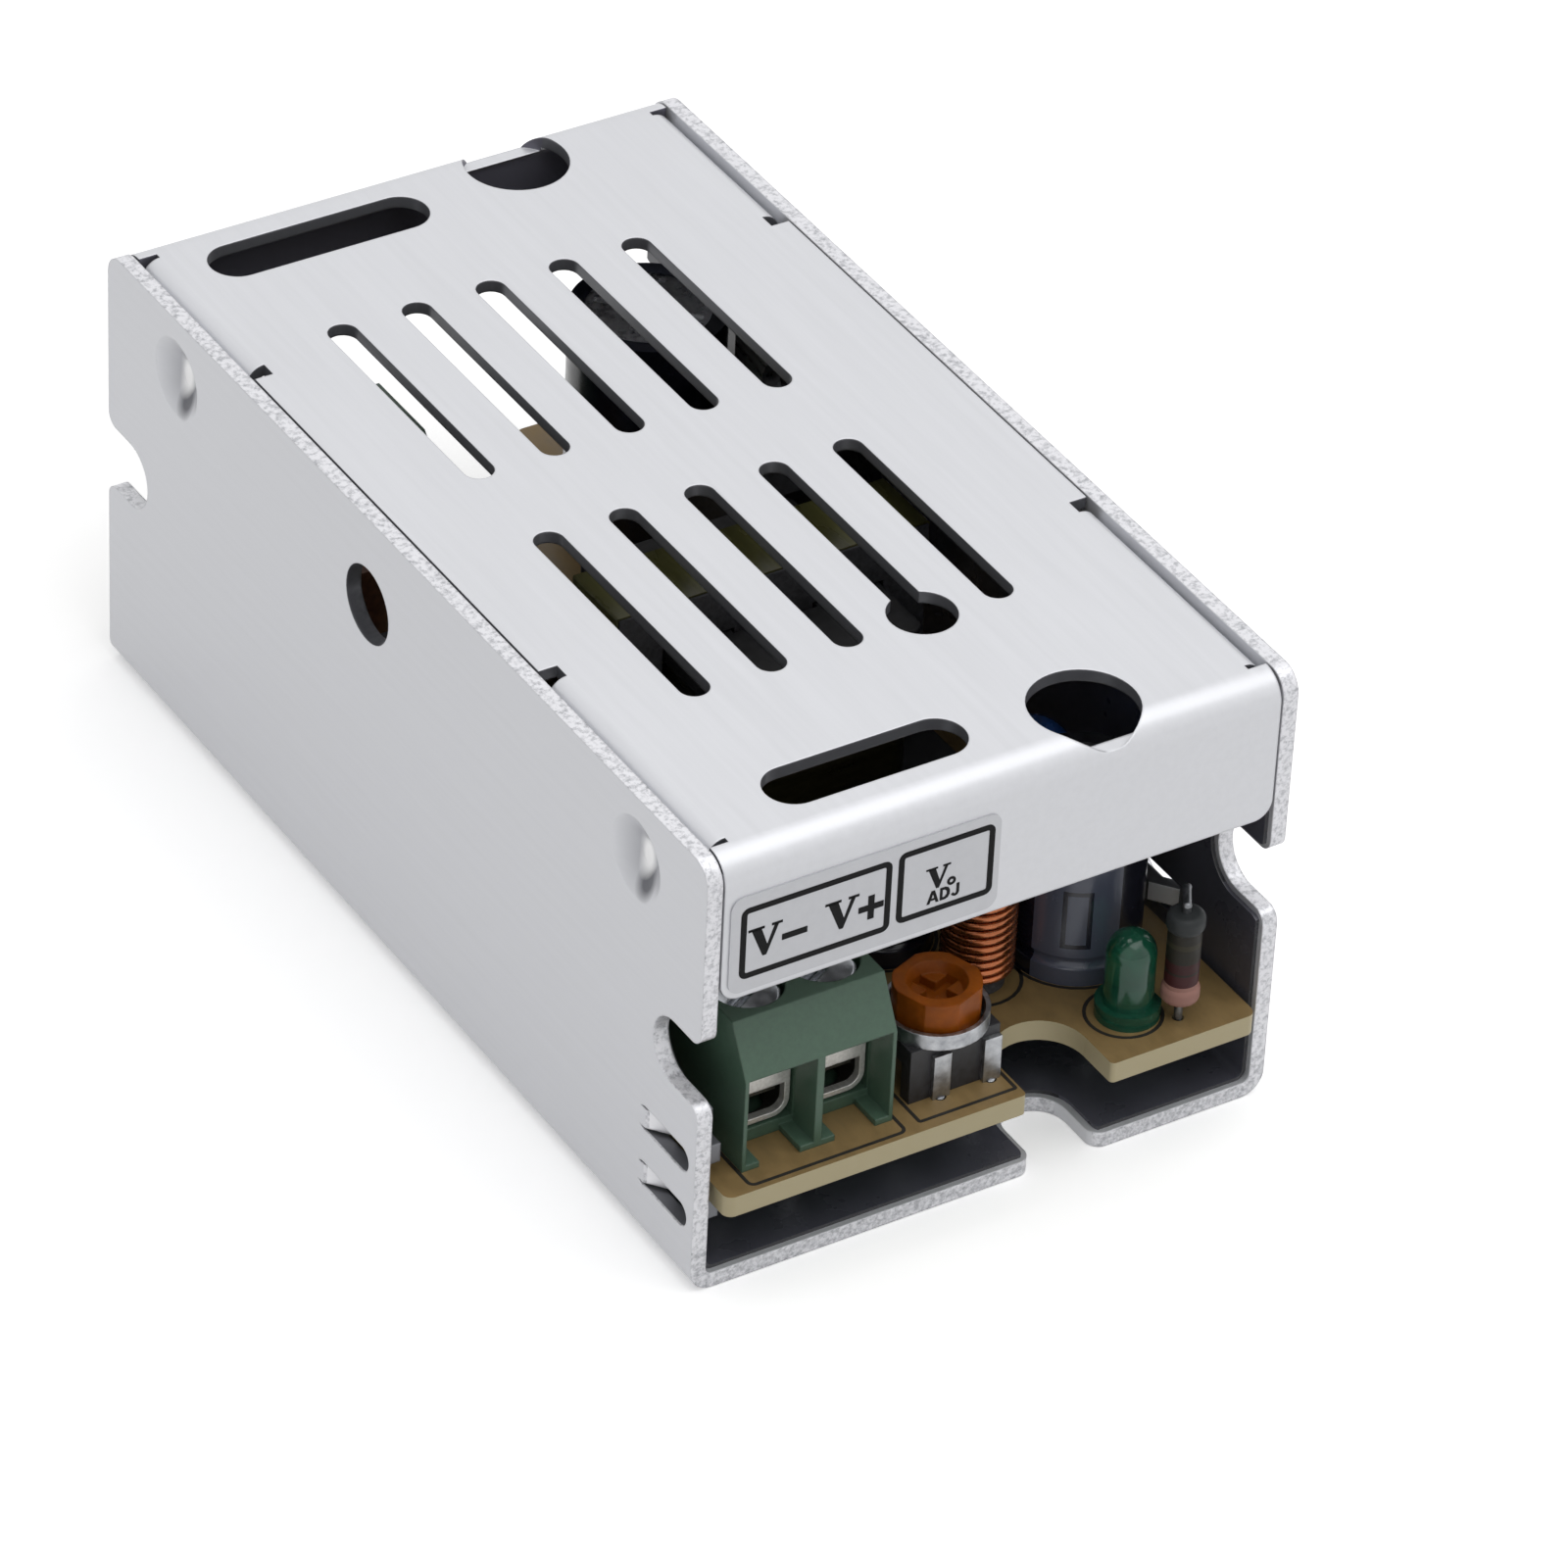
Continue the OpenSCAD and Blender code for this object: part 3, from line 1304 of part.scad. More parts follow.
chassis();
cover();
insulation_sheet();
terminal_label();
circuit_board();
output_terminal_housing();
output_clamp_1();
output_clamp_2();
output_screw_1();
output_screw_2();
output_terminal_contacts();
input_terminal_housing();
input_clamp_1();
input_clamp_2();
input_clamp_3();
input_screw_1();
input_screw_2();
input_screw_3();
input_terminal_contacts();
trimmer_base();
trimmer_collar();
trimmer_legs();
trimmer_rotor();
led_lens();
led_leads();
led_resistor();
led_resistor_leads();
choke_core();
choke_winding();
output_capacitor_1();
output_capacitor_1_sleeve();
output_capacitor_2();
output_capacitor_2_sleeve();
bulk_capacitor();
bulk_capacitor_sleeve();
capacitor_leads();
safety_capacitor();
safety_capacitor_leads();
transformer_core_lower();
transformer_core_upper();
transformer_bobbin();
transformer_winding();
transformer_tape();
transformer_pins();
controller_chip();
optocoupler();
chip_legs();
rectifier_diodes();
output_diode();
diode_leads();
fuse();
fuse_leads();
power_transistor();
power_transistor_tab();
voltage_reference();
voltage_reference_legs();
solder_joints();
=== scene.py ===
"""Finishes, printing and studio for a small open-ended LED power supply."""

import math

import bmesh
import bpy
from bpy.props import FloatProperty, FloatVectorProperty, PointerProperty
from bpy.types import Operator, Panel, PropertyGroup
from mathutils import Matrix, Vector


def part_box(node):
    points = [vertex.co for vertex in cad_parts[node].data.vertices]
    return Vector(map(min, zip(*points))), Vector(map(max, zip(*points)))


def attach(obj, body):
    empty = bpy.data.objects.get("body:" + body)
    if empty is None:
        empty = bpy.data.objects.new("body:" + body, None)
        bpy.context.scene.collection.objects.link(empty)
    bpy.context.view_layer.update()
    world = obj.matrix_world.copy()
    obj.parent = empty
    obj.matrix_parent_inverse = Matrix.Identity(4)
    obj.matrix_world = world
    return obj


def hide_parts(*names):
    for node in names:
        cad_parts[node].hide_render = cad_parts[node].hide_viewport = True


bl_info = {
    "name": "LED power supply",
    "version": (1, 0, 0),
    "blender": (4, 5, 0),
    "location": "View3D > Sidebar > Power Supply",
    "description": "Dresses the power supply's case and board and sets up its studio",
    "category": "Object",
}

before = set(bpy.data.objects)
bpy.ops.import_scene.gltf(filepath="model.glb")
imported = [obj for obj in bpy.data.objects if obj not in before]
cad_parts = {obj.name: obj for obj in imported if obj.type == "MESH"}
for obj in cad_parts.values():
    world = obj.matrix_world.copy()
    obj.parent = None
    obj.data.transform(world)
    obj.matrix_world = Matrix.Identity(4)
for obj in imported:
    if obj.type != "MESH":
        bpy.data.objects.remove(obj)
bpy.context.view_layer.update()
MM = 0.001
CASE_BODY = "case"
# How far a face looks along an axis that it is turned 60 degrees away from
ASLANT = 0.5


def linear(hex_colour):
    """An sRGB hex value as linear red, green, blue and alpha."""
    channels = [int(hex_colour[i : i + 2], 16) / 255 for i in (1, 3, 5)]
    return [c / 12.92 if c <= 0.04045 else ((c + 0.055) / 1.055) ** 2.4 for c in channels] + [1.0]


def per_mm(size):
    """The texture scale at which one pattern cell is this many millimetres wide."""
    return 1 / (size * MM)


def colour_property(name, description, hex_colour):
    """A colour that the user can change."""
    return FloatVectorProperty(
        name=name,
        description=description,
        subtype="COLOR",
        size=4,
        min=0,
        max=1,
        default=linear(hex_colour),
    )


def length_property(name, description, millimetres):
    """A length that the user can change, stored in metres."""
    return FloatProperty(
        name=name,
        description=description,
        subtype="DISTANCE",
        unit="LENGTH",
        min=0,
        default=millimetres * MM,
    )


class CaseFinish(PropertyGroup):
    """Colours and print of the case."""

    sheet: colour_property("Sheet", "Aluminium of the chassis and the cover", "#d9dade")
    film: colour_property("Film", "Insulating film inside the chassis", "#55555f")
    label: colour_property("Label", "Face of the terminal label", "#c2c3c7")
    ink: colour_property("Ink", "Print on the label", "#0a0a0c")
    frame_line: length_property("Frame line", "Line width of the label's frames", 0.38)
    letter: length_property("Letter height", "Height of the terminal letters", 2.05)
    print_depth: length_property("Print depth", "How far the print stands on its surface", 0.02)


class BoardFinish(PropertyGroup):
    """Colours of the board and of what it carries."""

    laminate: colour_property("Laminate", "Paper laminate of the board", "#8a7248")
    legend: colour_property("Legend", "Legend print on the board", "#1d1a14")
    legend_line: length_property("Legend line", "Line width of the legend print", 0.22)
    housing: colour_property("Terminal housing", "Moulded terminal housings", "#4b6554")
    rotor: colour_property("Trimmer rotor", "Turning part of the trimmer", "#a05310")
    lens: colour_property("Lamp lens", "Cast lens of the indicator lamp", "#379070")
    sleeve: colour_property("Capacitor sleeve", "Shrink sleeves of the capacitors", "#1b1d29")
    stripe: colour_property("Sleeve stripe", "Minus stripe on the sleeves", "#545969")
    copper: colour_property("Copper wire", "Enamelled wire of the choke", "#b5673a")


class StudioSettings(PropertyGroup):
    """Camera, floor and light."""

    lens: FloatProperty(name="Lens", description="Focal length", subtype="DISTANCE_CAMERA", default=202.27)
    floor: colour_property("Floor", "Floor and backdrop", "#ffffff")
    key: FloatProperty(
        name="Key light", description="Power of the key light", subtype="POWER", default=1.12
    )
    fill: FloatProperty(name="Fill light", description="Strength of the even light", min=0, default=0.5)


# Building blocks


def add(tree, kind, sockets=None, **settings):
    """Adds a shader node with its settings, and sets or links its sockets by name or index."""
    made = tree.nodes.new(kind)
    for name, value in settings.items():
        setattr(made, name, value)
    for key, value in (sockets or {}).items():
        if isinstance(value, bpy.types.NodeSocket):
            tree.links.new(value, made.inputs[key])
        else:
            made.inputs[key].default_value = value
    return made


def finish(name, light, dark, grain, rough, relief=0.0, edge=0.0, stretch=(1, 1, 1), **sockets):
    """A material whose colour, gloss and relief vary over grains of a size in millimetres."""
    material = bpy.data.materials.new(name)
    material.use_nodes = True
    tree = material.node_tree
    tree.nodes.clear()
    shader = add(tree, "ShaderNodeBsdfPrincipled")
    add(tree, "ShaderNodeOutputMaterial", {"Surface": shader.outputs["BSDF"]})
    place = add(tree, "ShaderNodeTexCoord")
    cells = add(
        tree,
        "ShaderNodeMapping",
        {"Vector": place.outputs["Object"], "Scale": [per_mm(grain * s) for s in stretch]},
    )
    noise = add(
        tree,
        "ShaderNodeTexNoise",
        {"Vector": cells.outputs["Vector"], "Scale": 1.0, "Detail": 4.0, "Roughness": 0.6},
    )
    ramp = add(tree, "ShaderNodeValToRGB", {"Fac": noise.outputs["Fac"]})
    for stop, position, colour in zip(ramp.color_ramp.elements, (0.32, 0.68), (dark, light)):
        stop.position = position
        stop.color = linear(colour) if isinstance(colour, str) else colour
    gloss = add(
        tree,
        "ShaderNodeMapRange",
        {
            "Value": noise.outputs["Fac"],
            "From Min": 0.3,
            "From Max": 0.7,
            "To Min": rough[0],
            "To Max": rough[1],
        },
    )
    tree.links.new(ramp.outputs["Color"], shader.inputs["Base Color"])
    tree.links.new(gloss.outputs["Result"], shader.inputs["Roughness"])
    bump = add(
        tree, "ShaderNodeBump", {"Height": noise.outputs["Fac"], "Strength": 1.0, "Distance": relief * MM}
    )
    if edge:
        rounded = add(tree, "ShaderNodeBevel", {"Radius": edge * MM}, samples=6)
        tree.links.new(rounded.outputs["Normal"], bump.inputs["Normal"])
    tree.links.new(bump.outputs["Normal"], shader.inputs["Normal"])
    for key, value in sockets.items():
        shader.inputs[key.replace("_", " ")].default_value = value
    return material


def paint_over(material, colour, *masks):
    """Lays a second colour over a material where every mask is 1."""
    tree = material.node_tree
    shader = tree.nodes["Principled BSDF"]
    below = shader.inputs["Base Color"].links[0].from_socket
    share = masks[0]
    for mask in masks[1:]:
        share = add(tree, "ShaderNodeMath", {0: share, 1: mask}, operation="MULTIPLY").outputs[0]
    colour = linear(colour) if isinstance(colour, str) else colour
    mixed = add(tree, "ShaderNodeMix", {0: share, 6: below, 7: colour}, data_type="RGBA")
    tree.links.new(mixed.outputs[2], shader.inputs["Base Color"])


def place_along(tree, axis):
    """How far along an axis a point lies on its mesh."""
    place = add(tree, "ShaderNodeTexCoord").outputs["Object"]
    return add(tree, "ShaderNodeSeparateXYZ", {0: place}).outputs[axis]


def facing_along(tree, axis):
    """How far the face at a point looks along an axis."""
    facing = add(tree, "ShaderNodeNewGeometry").outputs["True Normal"]
    return add(tree, "ShaderNodeSeparateXYZ", {0: facing}).outputs[axis]


def within(tree, value, reach, centre=0.0, test="LESS_THAN"):
    """1 where a value lies within a reach of a centre."""
    away = add(tree, "ShaderNodeMath", {0: value, 1: centre}, operation="SUBTRACT").outputs[0]
    size = add(tree, "ShaderNodeMath", {0: away}, operation="ABSOLUTE").outputs[0]
    return add(tree, "ShaderNodeMath", {0: size, 1: reach}, operation=test).outputs[0]


def beyond(tree, value, reach):
    """1 where a value lies further than a reach from 0."""
    return within(tree, value, reach, test="GREATER_THAN")


def spot(tree, centre, reach):
    """1 at a place, falling softly to 0 at its reach along each axis."""
    local = add(
        tree,
        "ShaderNodeMapping",
        {"Vector": add(tree, "ShaderNodeTexCoord").outputs["Object"], "Location": centre, "Scale": reach},
        vector_type="TEXTURE",
    ).outputs["Vector"]
    away = add(tree, "ShaderNodeVectorMath", {0: local}, operation="LENGTH").outputs["Value"]
    fade = {"Value": away, "From Min": 0.4, "From Max": 1.0, "To Min": 1.0, "To Max": 0.0}
    return add(tree, "ShaderNodeMapRange", fade).outputs["Result"]


def darker(colour, share):
    """A colour with its red, green and blue scaled down."""
    return [c * share for c in colour[:3]] + [1.0]


def dress(material, *names):
    """Gives CAD nodes a material."""
    for name in names:
        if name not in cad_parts:
            raise RuntimeError(f"the frame has no node named {name}")
        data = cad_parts[name].data
        data.materials.clear()
        data.materials.append(material)


def middle(name):
    """The centre of a CAD node's box."""
    low, high = (Vector(corner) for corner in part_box(name))
    return (low + high) / 2


def make_piece(name, bm, material, place=None):
    """Turns a bmesh into a piece of the case's body, with its place in its mesh."""
    if place is not None:
        bmesh.ops.transform(bm, matrix=place, verts=bm.verts)
    bmesh.ops.recalc_face_normals(bm, faces=bm.faces)
    mesh = bpy.data.meshes.new(name)
    bm.to_mesh(mesh)
    bm.free()
    piece = bpy.data.objects.new(name, mesh)
    bpy.context.scene.collection.objects.link(piece)
    mesh.materials.append(material)
    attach(piece, CASE_BODY)
    return piece


def raise_faces(bm, faces, depth):
    """Gives flat faces a thickness."""
    lifted = bmesh.ops.extrude_face_region(bm, geom=faces)
    verts = [g for g in lifted["geom"] if isinstance(g, bmesh.types.BMVert)]
    bmesh.ops.translate(bm, vec=(0, 0, depth), verts=verts)


def stroke(bm, corners, depth):
    """A flat printed shape with the given corners."""
    face = bm.faces.new([bm.verts.new((x, y, 0)) for x, y in corners])
    raise_faces(bm, [face], depth)


def bar(bm, x0, y0, x1, y1, depth):
    """A printed bar between two corners."""
    stroke(bm, [(x0, y0), (x1, y0), (x1, y1), (x0, y1)], depth)


def line_around(bm, face, line, depth):
    """Leaves only a printed line inside the rim of a flat face."""
    rim = bmesh.ops.inset_region(bm, faces=[face], thickness=line, use_even_offset=True, use_boundary=True)
    bmesh.ops.delete(bm, geom=[face], context="FACES_ONLY")
    raise_faces(bm, rim["faces"], depth)


def outline(bm, x0, y0, x1, y1, line, radius, depth):
    """A printed frame with rounded corners, its line inside the given corners."""
    grid = bmesh.ops.create_grid(bm, x_segments=1, y_segments=1, size=0.5)["verts"]
    bmesh.ops.scale(bm, vec=(x1 - x0, y1 - y0, 1), verts=grid)
    bmesh.ops.translate(bm, vec=((x0 + x1) / 2, (y0 + y1) / 2, 0), verts=grid)
    rounded = bmesh.ops.bevel(
        bm, geom=grid, offset=radius, affect="VERTICES", segments=5, profile=0.5, material=-1
    )
    face = max((f for v in rounded["verts"] for f in v.link_faces), key=lambda f: f.calc_area())
    line_around(bm, face, line, depth)


def ring_line(bm, x, y, radius, line, depth):
    """A printed circle."""
    disc = bmesh.ops.create_circle(bm, cap_ends=True, radius=radius, segments=32)["verts"]
    bmesh.ops.translate(bm, vec=(x, y, 0), verts=disc)
    face = disc[0].link_faces[0]
    line_around(bm, face, line, depth)


def letter_v(bm, x, y, height, depth):
    """A bold letter V with serifs, its foot at the given point."""
    arms = [(-0.45, 0.95), (-0.07, 0), (0.05, 0), (0.42, 0.95), (0.29, 0.95), (0.07, 0.34), (-0.14, 0.95)]
    stroke(bm, [(x + height * u, y + height * v) for u, v in arms], depth)
    for left, right in ((-0.55, -0.04), (0.19, 0.53)):
        bar(bm, x + height * left, y + height * 0.92, x + height * right, y + height, depth)


def word_adj(bm, x, y, height, depth):
    """The word ADJ in plain bold capitals, its foot centred on the given point."""
    letter_a = [(-0.46, 0), (-0.13, 1), (0.13, 1), (0.46, 0), (0.24, 0), (0, 0.72), (-0.24, 0)]
    bowl = [(0.02, 0), (0.26, 0.1), (0.38, 0.34), (0.38, 0.66), (0.26, 0.9), (0.02, 1)]
    letter_d = [(-0.38, 0), *bowl, (-0.38, 1), (-0.38, 0.8), (-0.03, 0.8), (0.15, 0.62), (0.15, 0.38)]
    letter_d += [(-0.03, 0.2), (-0.38, 0.2)]
    hook = [(0.3, 0.28), (0.2, 0.06), (0, 0), (-0.2, 0.06), (-0.32, 0.22), (-0.14, 0.32)]
    letter_j = [(0.08, 1), (0.3, 1), *hook, (-0.06, 0.2), (0.03, 0.2), (0.08, 0.3)]
    for shape, shift in ((letter_a, -0.9), (letter_d, 0.02), (letter_j, 0.82)):
        stroke(bm, [(x + height * (u + shift), y + height * v) for u, v in shape], depth)
    bar(bm, x - height * 1.04, y + height * 0.22, x - height * 0.76, y + height * 0.38, depth)
    bar(bm, x - height * 0.36, y + height * 0.2, x - height * 0.16, y + height * 0.8, depth)


# Operators


class SUPPLY_OT_case_sheet(Operator):
    """Finishes the folded chassis and the vented cover"""

    bl_idname = "supply.case_sheet"
    bl_label = "Case sheet"

    # Places of the pressed features, from the ends and the underside of the chassis
    dimple_from_front = 7.5 * MM
    dimple_from_rear = 8.7 * MM
    dimple_height = 25.9 * MM
    tongue_height = 6.9 * MM
    tongue_reach = 3 * MM
    hole_from_front = 38 * MM
    hole_height = 24 * MM
    hole_reach = 6 * MM
    hole_depth = 4 * MM
    # What stays unpainted outside the tongues: the wall's outer skin and the chassis's cut ends
    skin = 0.15 * MM
    cut_end = 0.4 * MM
    # How high the base's own edges reach, and how far the cover's pierced sheet and flaps reach in
    base_reach = 3 * MM
    pierced_depth = 0.85 * MM
    flap_depth = 2 * MM

    def execute(self, context):
        case = context.scene.supply_case
        # Mill-finish aluminium sheet: satin, with faint rolling lines along its length and bright cut edges
        for name in ("chassis", "cover"):
            sheet = finish(
                f"Aluminium sheet, {name}",
                case.sheet,
                darker(case.sheet, 0.96),
                grain=0.5,
                rough=(0.34, 0.44),
                relief=0.0015,
                edge=0.18,
                stretch=(1, 30, 1),
                Metallic=0.42,
            )
            if name == "chassis":
                self.sheared_edges(sheet)
                self.pressed_feature_shading(sheet)
            else:
                self.pierced_holes(sheet)
            dress(sheet, name)
        # Polyester film: black, smooth and slightly wavy
        film = finish(
            "Polyester film, black",
            case.film,
            darker(case.film, 0.7),
            grain=6,
            rough=(0.22, 0.36),
            relief=0.05,
            IOR=1.6,
        )
        tree = film.node_tree
        paint_over(film, darker(case.film, 0.15), beyond(tree, facing_along(tree, "Y"), ASLANT))
        dress(film, "insulation_sheet")
        return {"FINISHED"}

    def sheared_edges(self, material):
        """Roughly sheared edges: pale and dry, with grey tears, most of them along the base."""
        tree = material.node_tree
        raised = beyond(tree, place_along(tree, "Z"), self.base_reach)
        tears = add(
            tree,
            "ShaderNodeTexNoise",
            {
                "Vector": add(tree, "ShaderNodeTexCoord").outputs["Object"],
                "Scale": per_mm(0.35),
                "Detail": 3.0,
                "Roughness": 0.7,
            },
        ).outputs["Fac"]
        paler = 0.05
        level = add(
            tree, "ShaderNodeMath", {0: raised, 1: paler, 2: tears}, operation="MULTIPLY_ADD"
        ).outputs[0]
        ramp = add(tree, "ShaderNodeValToRGB", {"Fac": level})
        for stop, position, colour in zip(ramp.color_ramp.elements, (0.34, 0.6), ("#a6a7ac", "#e6e6ea")):
            stop.position = position
            stop.color = linear(colour)
        tone = ramp.outputs["Color"]
        paint_over(material, tone, within(tree, facing_along(tree, "X"), ASLANT), raised)
        paint_over(material, tone, beyond(tree, facing_along(tree, "Y"), ASLANT))

    def pressed_feature_shading(self, material):
        """Painted light and shade at the pressed features: a painted glint and painted shade in each
        dimple, painted shade in the tongues and the side hole, and a painted highlight on the tongues'
        roots.
        """
        tree = material.node_tree
        low, high = (Vector(corner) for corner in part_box("chassis"))
        through = 100 * (high.x - low.x)
        z = low.z + self.dimple_height
        for y in (low.y + self.dimple_from_front, high.y - self.dimple_from_rear):
            # Painted shade over the cone, painted shade at its lower lip and a painted glint in it, in mm
            # along Y and Z
            for shift, reach, colour in (
                ((0, 0), (2.5, 2.7), "#b3b4b9"),
                ((-0.5, -1.5), (1.1, 1.2), "#66676d"),
                ((0.1, -0.1), (0.9, 1.6), "#ffffff"),
            ):
                centre = (0, y + shift[0] * MM, z + shift[1] * MM)
                mark = spot(tree, centre, (through, reach[0] * MM, reach[1] * MM))
                paint_over(material, colour, mark)
        tongues = (
            within(tree, place_along(tree, "X"), high.x - self.skin),
            within(tree, place_along(tree, "Y"), high.y - self.cut_end),
            within(tree, place_along(tree, "Z"), self.tongue_reach, low.z + self.tongue_height),
        )
        # Painted shade over the recessed tongues and the walls of their slits
        paint_over(material, "#797a7f", *tongues)
        # The tongues' stretched roots slope between these two limits, and carry a painted highlight
        along = facing_along(tree, "Y")
        steepest = 0.74
        roots = (*tongues, beyond(tree, along, ASLANT), within(tree, along, steepest))
        paint_over(material, "#f4f4f7", *roots)
        # Painted shade on the walls of the side hole
        hole = (low.x, low.y + self.hole_from_front, low.z + self.hole_height)
        around = spot(tree, hole, (self.hole_depth, self.hole_reach, self.hole_reach))
        paint_over(material, "#56575c", around, within(tree, facing_along(tree, "X"), ASLANT))

    def pierced_holes(self, material):
        """Painted shade on the walls of the pierced holes and on the unlit inside of the flaps."""
        tree = material.node_tree
        high = Vector(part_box("cover")[1])
        upright = within(tree, facing_along(tree, "Z"), 0.3)
        in_sheet = beyond(tree, place_along(tree, "Z"), high.z - self.pierced_depth)
        # Painted shade on the hole walls within the sheet
        paint_over(material, "#6c6d72", upright, in_sheet)
        y = place_along(tree, "Y")
        outward = add(
            tree, "ShaderNodeMath", {0: facing_along(tree, "Y"), 1: y}, operation="MULTIPLY"
        ).outputs[0]
        inward = add(
            tree, "ShaderNodeMath", {0: outward, 1: -ASLANT * high.y}, operation="LESS_THAN"
        ).outputs[0]
        # Painted shade on the inside of the flaps
        paint_over(material, "#6a6974", inward, beyond(tree, y, high.y - self.flap_depth))


class SUPPLY_OT_terminal_label(Operator):
    """Prints the terminal label on the front flap"""

    bl_idname = "supply.terminal_label"
    bl_label = "Terminal label"

    # The two frames, from the label's lower left corner: the right one stands a little higher
    frames_left = 0.66 * MM
    frames_split = 10.44 * MM
    frames_right = 17.2 * MM
    frames_bottom = 0.88 * MM
    frame_height = 4.9 * MM
    frame_gap = 0.42 * MM
    frame_step = 0.19 * MM
    frame_corner = 0.5 * MM
    # Feet of the two poles' letters in the left frame
    letters_up = 1.25 * MM
    minus_pole = 1.63 * MM
    plus_pole = 6.6 * MM
    # Adjuster's mark, from the lower right corner of the left frame: letter, small ring and word
    adjuster_letter = Vector((3.11, 1.84)) * MM
    adjuster_letter_height = 1.5 * MM
    adjuster_ring = Vector((4.01, 2.02)) * MM
    adjuster_ring_radius = 0.29 * MM
    adjuster_ring_line = 0.17 * MM
    adjuster_word = Vector((3.6, 0.86)) * MM
    adjuster_word_height = 0.86 * MM

    def execute(self, context):
        case = context.scene.supply_case
        # Silver-grey polyester label: almost smooth, a little glossier than the sheet below it
        face = finish(
            "Polyester label, silver grey",
            case.label,
            darker(case.label, 0.95),
            grain=0.6,
            rough=(0.3, 0.38),
            relief=0.002,
            Metallic=0.45,
        )
        dress(face, "terminal_label")
        # Printing ink: matt black, slightly broken over the grain of the label
        ink = finish(
            "Printing ink, black",
            case.ink,
            darker(case.ink, 0.5),
            grain=0.15,
            rough=(0.55, 0.7),
            Specular_IOR_Level=0.15,
        )
        low = Vector(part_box("terminal_label")[0])
        depth = case.print_depth
        bm = bmesh.new()
        left = low.x + self.frames_left
        split = low.x + self.frames_split
        right = low.x + self.frames_right
        bottom = low.z + self.frames_bottom
        raised = bottom + self.frame_step
        tall = self.frame_height
        for x0, y0, x1 in ((left, bottom, split), (split + self.frame_gap, raised, right)):
            outline(bm, x0, y0, x1, y0 + tall, case.frame_line, self.frame_corner, depth)
        height = case.letter
        foot = bottom + self.letters_up
        thick = 0.2 * height
        half = 0.4 * height
        for x, crossed in ((left + self.minus_pole, False), (left + self.plus_pole, True)):
            letter_v(bm, x, foot, height, depth)
            sign_x = x + 0.93 * height
            sign_y = foot + half
            bar(bm, sign_x - half, sign_y - thick / 2, sign_x + half, sign_y + thick / 2, depth)
            if crossed:
                bar(bm, sign_x - thick / 2, sign_y + thick / 2, sign_x + thick / 2, sign_y + half, depth)
                bar(bm, sign_x - thick / 2, sign_y - half, sign_x + thick / 2, sign_y - thick / 2, depth)
        corner = Vector((split, bottom))
        letter_v(bm, *(corner + self.adjuster_letter), self.adjuster_letter_height, depth)
        ring = corner + self.adjuster_ring
        ring_line(bm, *ring, self.adjuster_ring_radius, self.adjuster_ring_line, depth)
        word_adj(bm, *(corner + self.adjuster_word), self.adjuster_word_height, depth)
        place = Matrix.Translation((0, low.y, 0)) @ Matrix.Rotation(math.radians(90), 4, "X")
        make_piece("terminal_label_print", bm, ink, place)
        return {"FINISHED"}


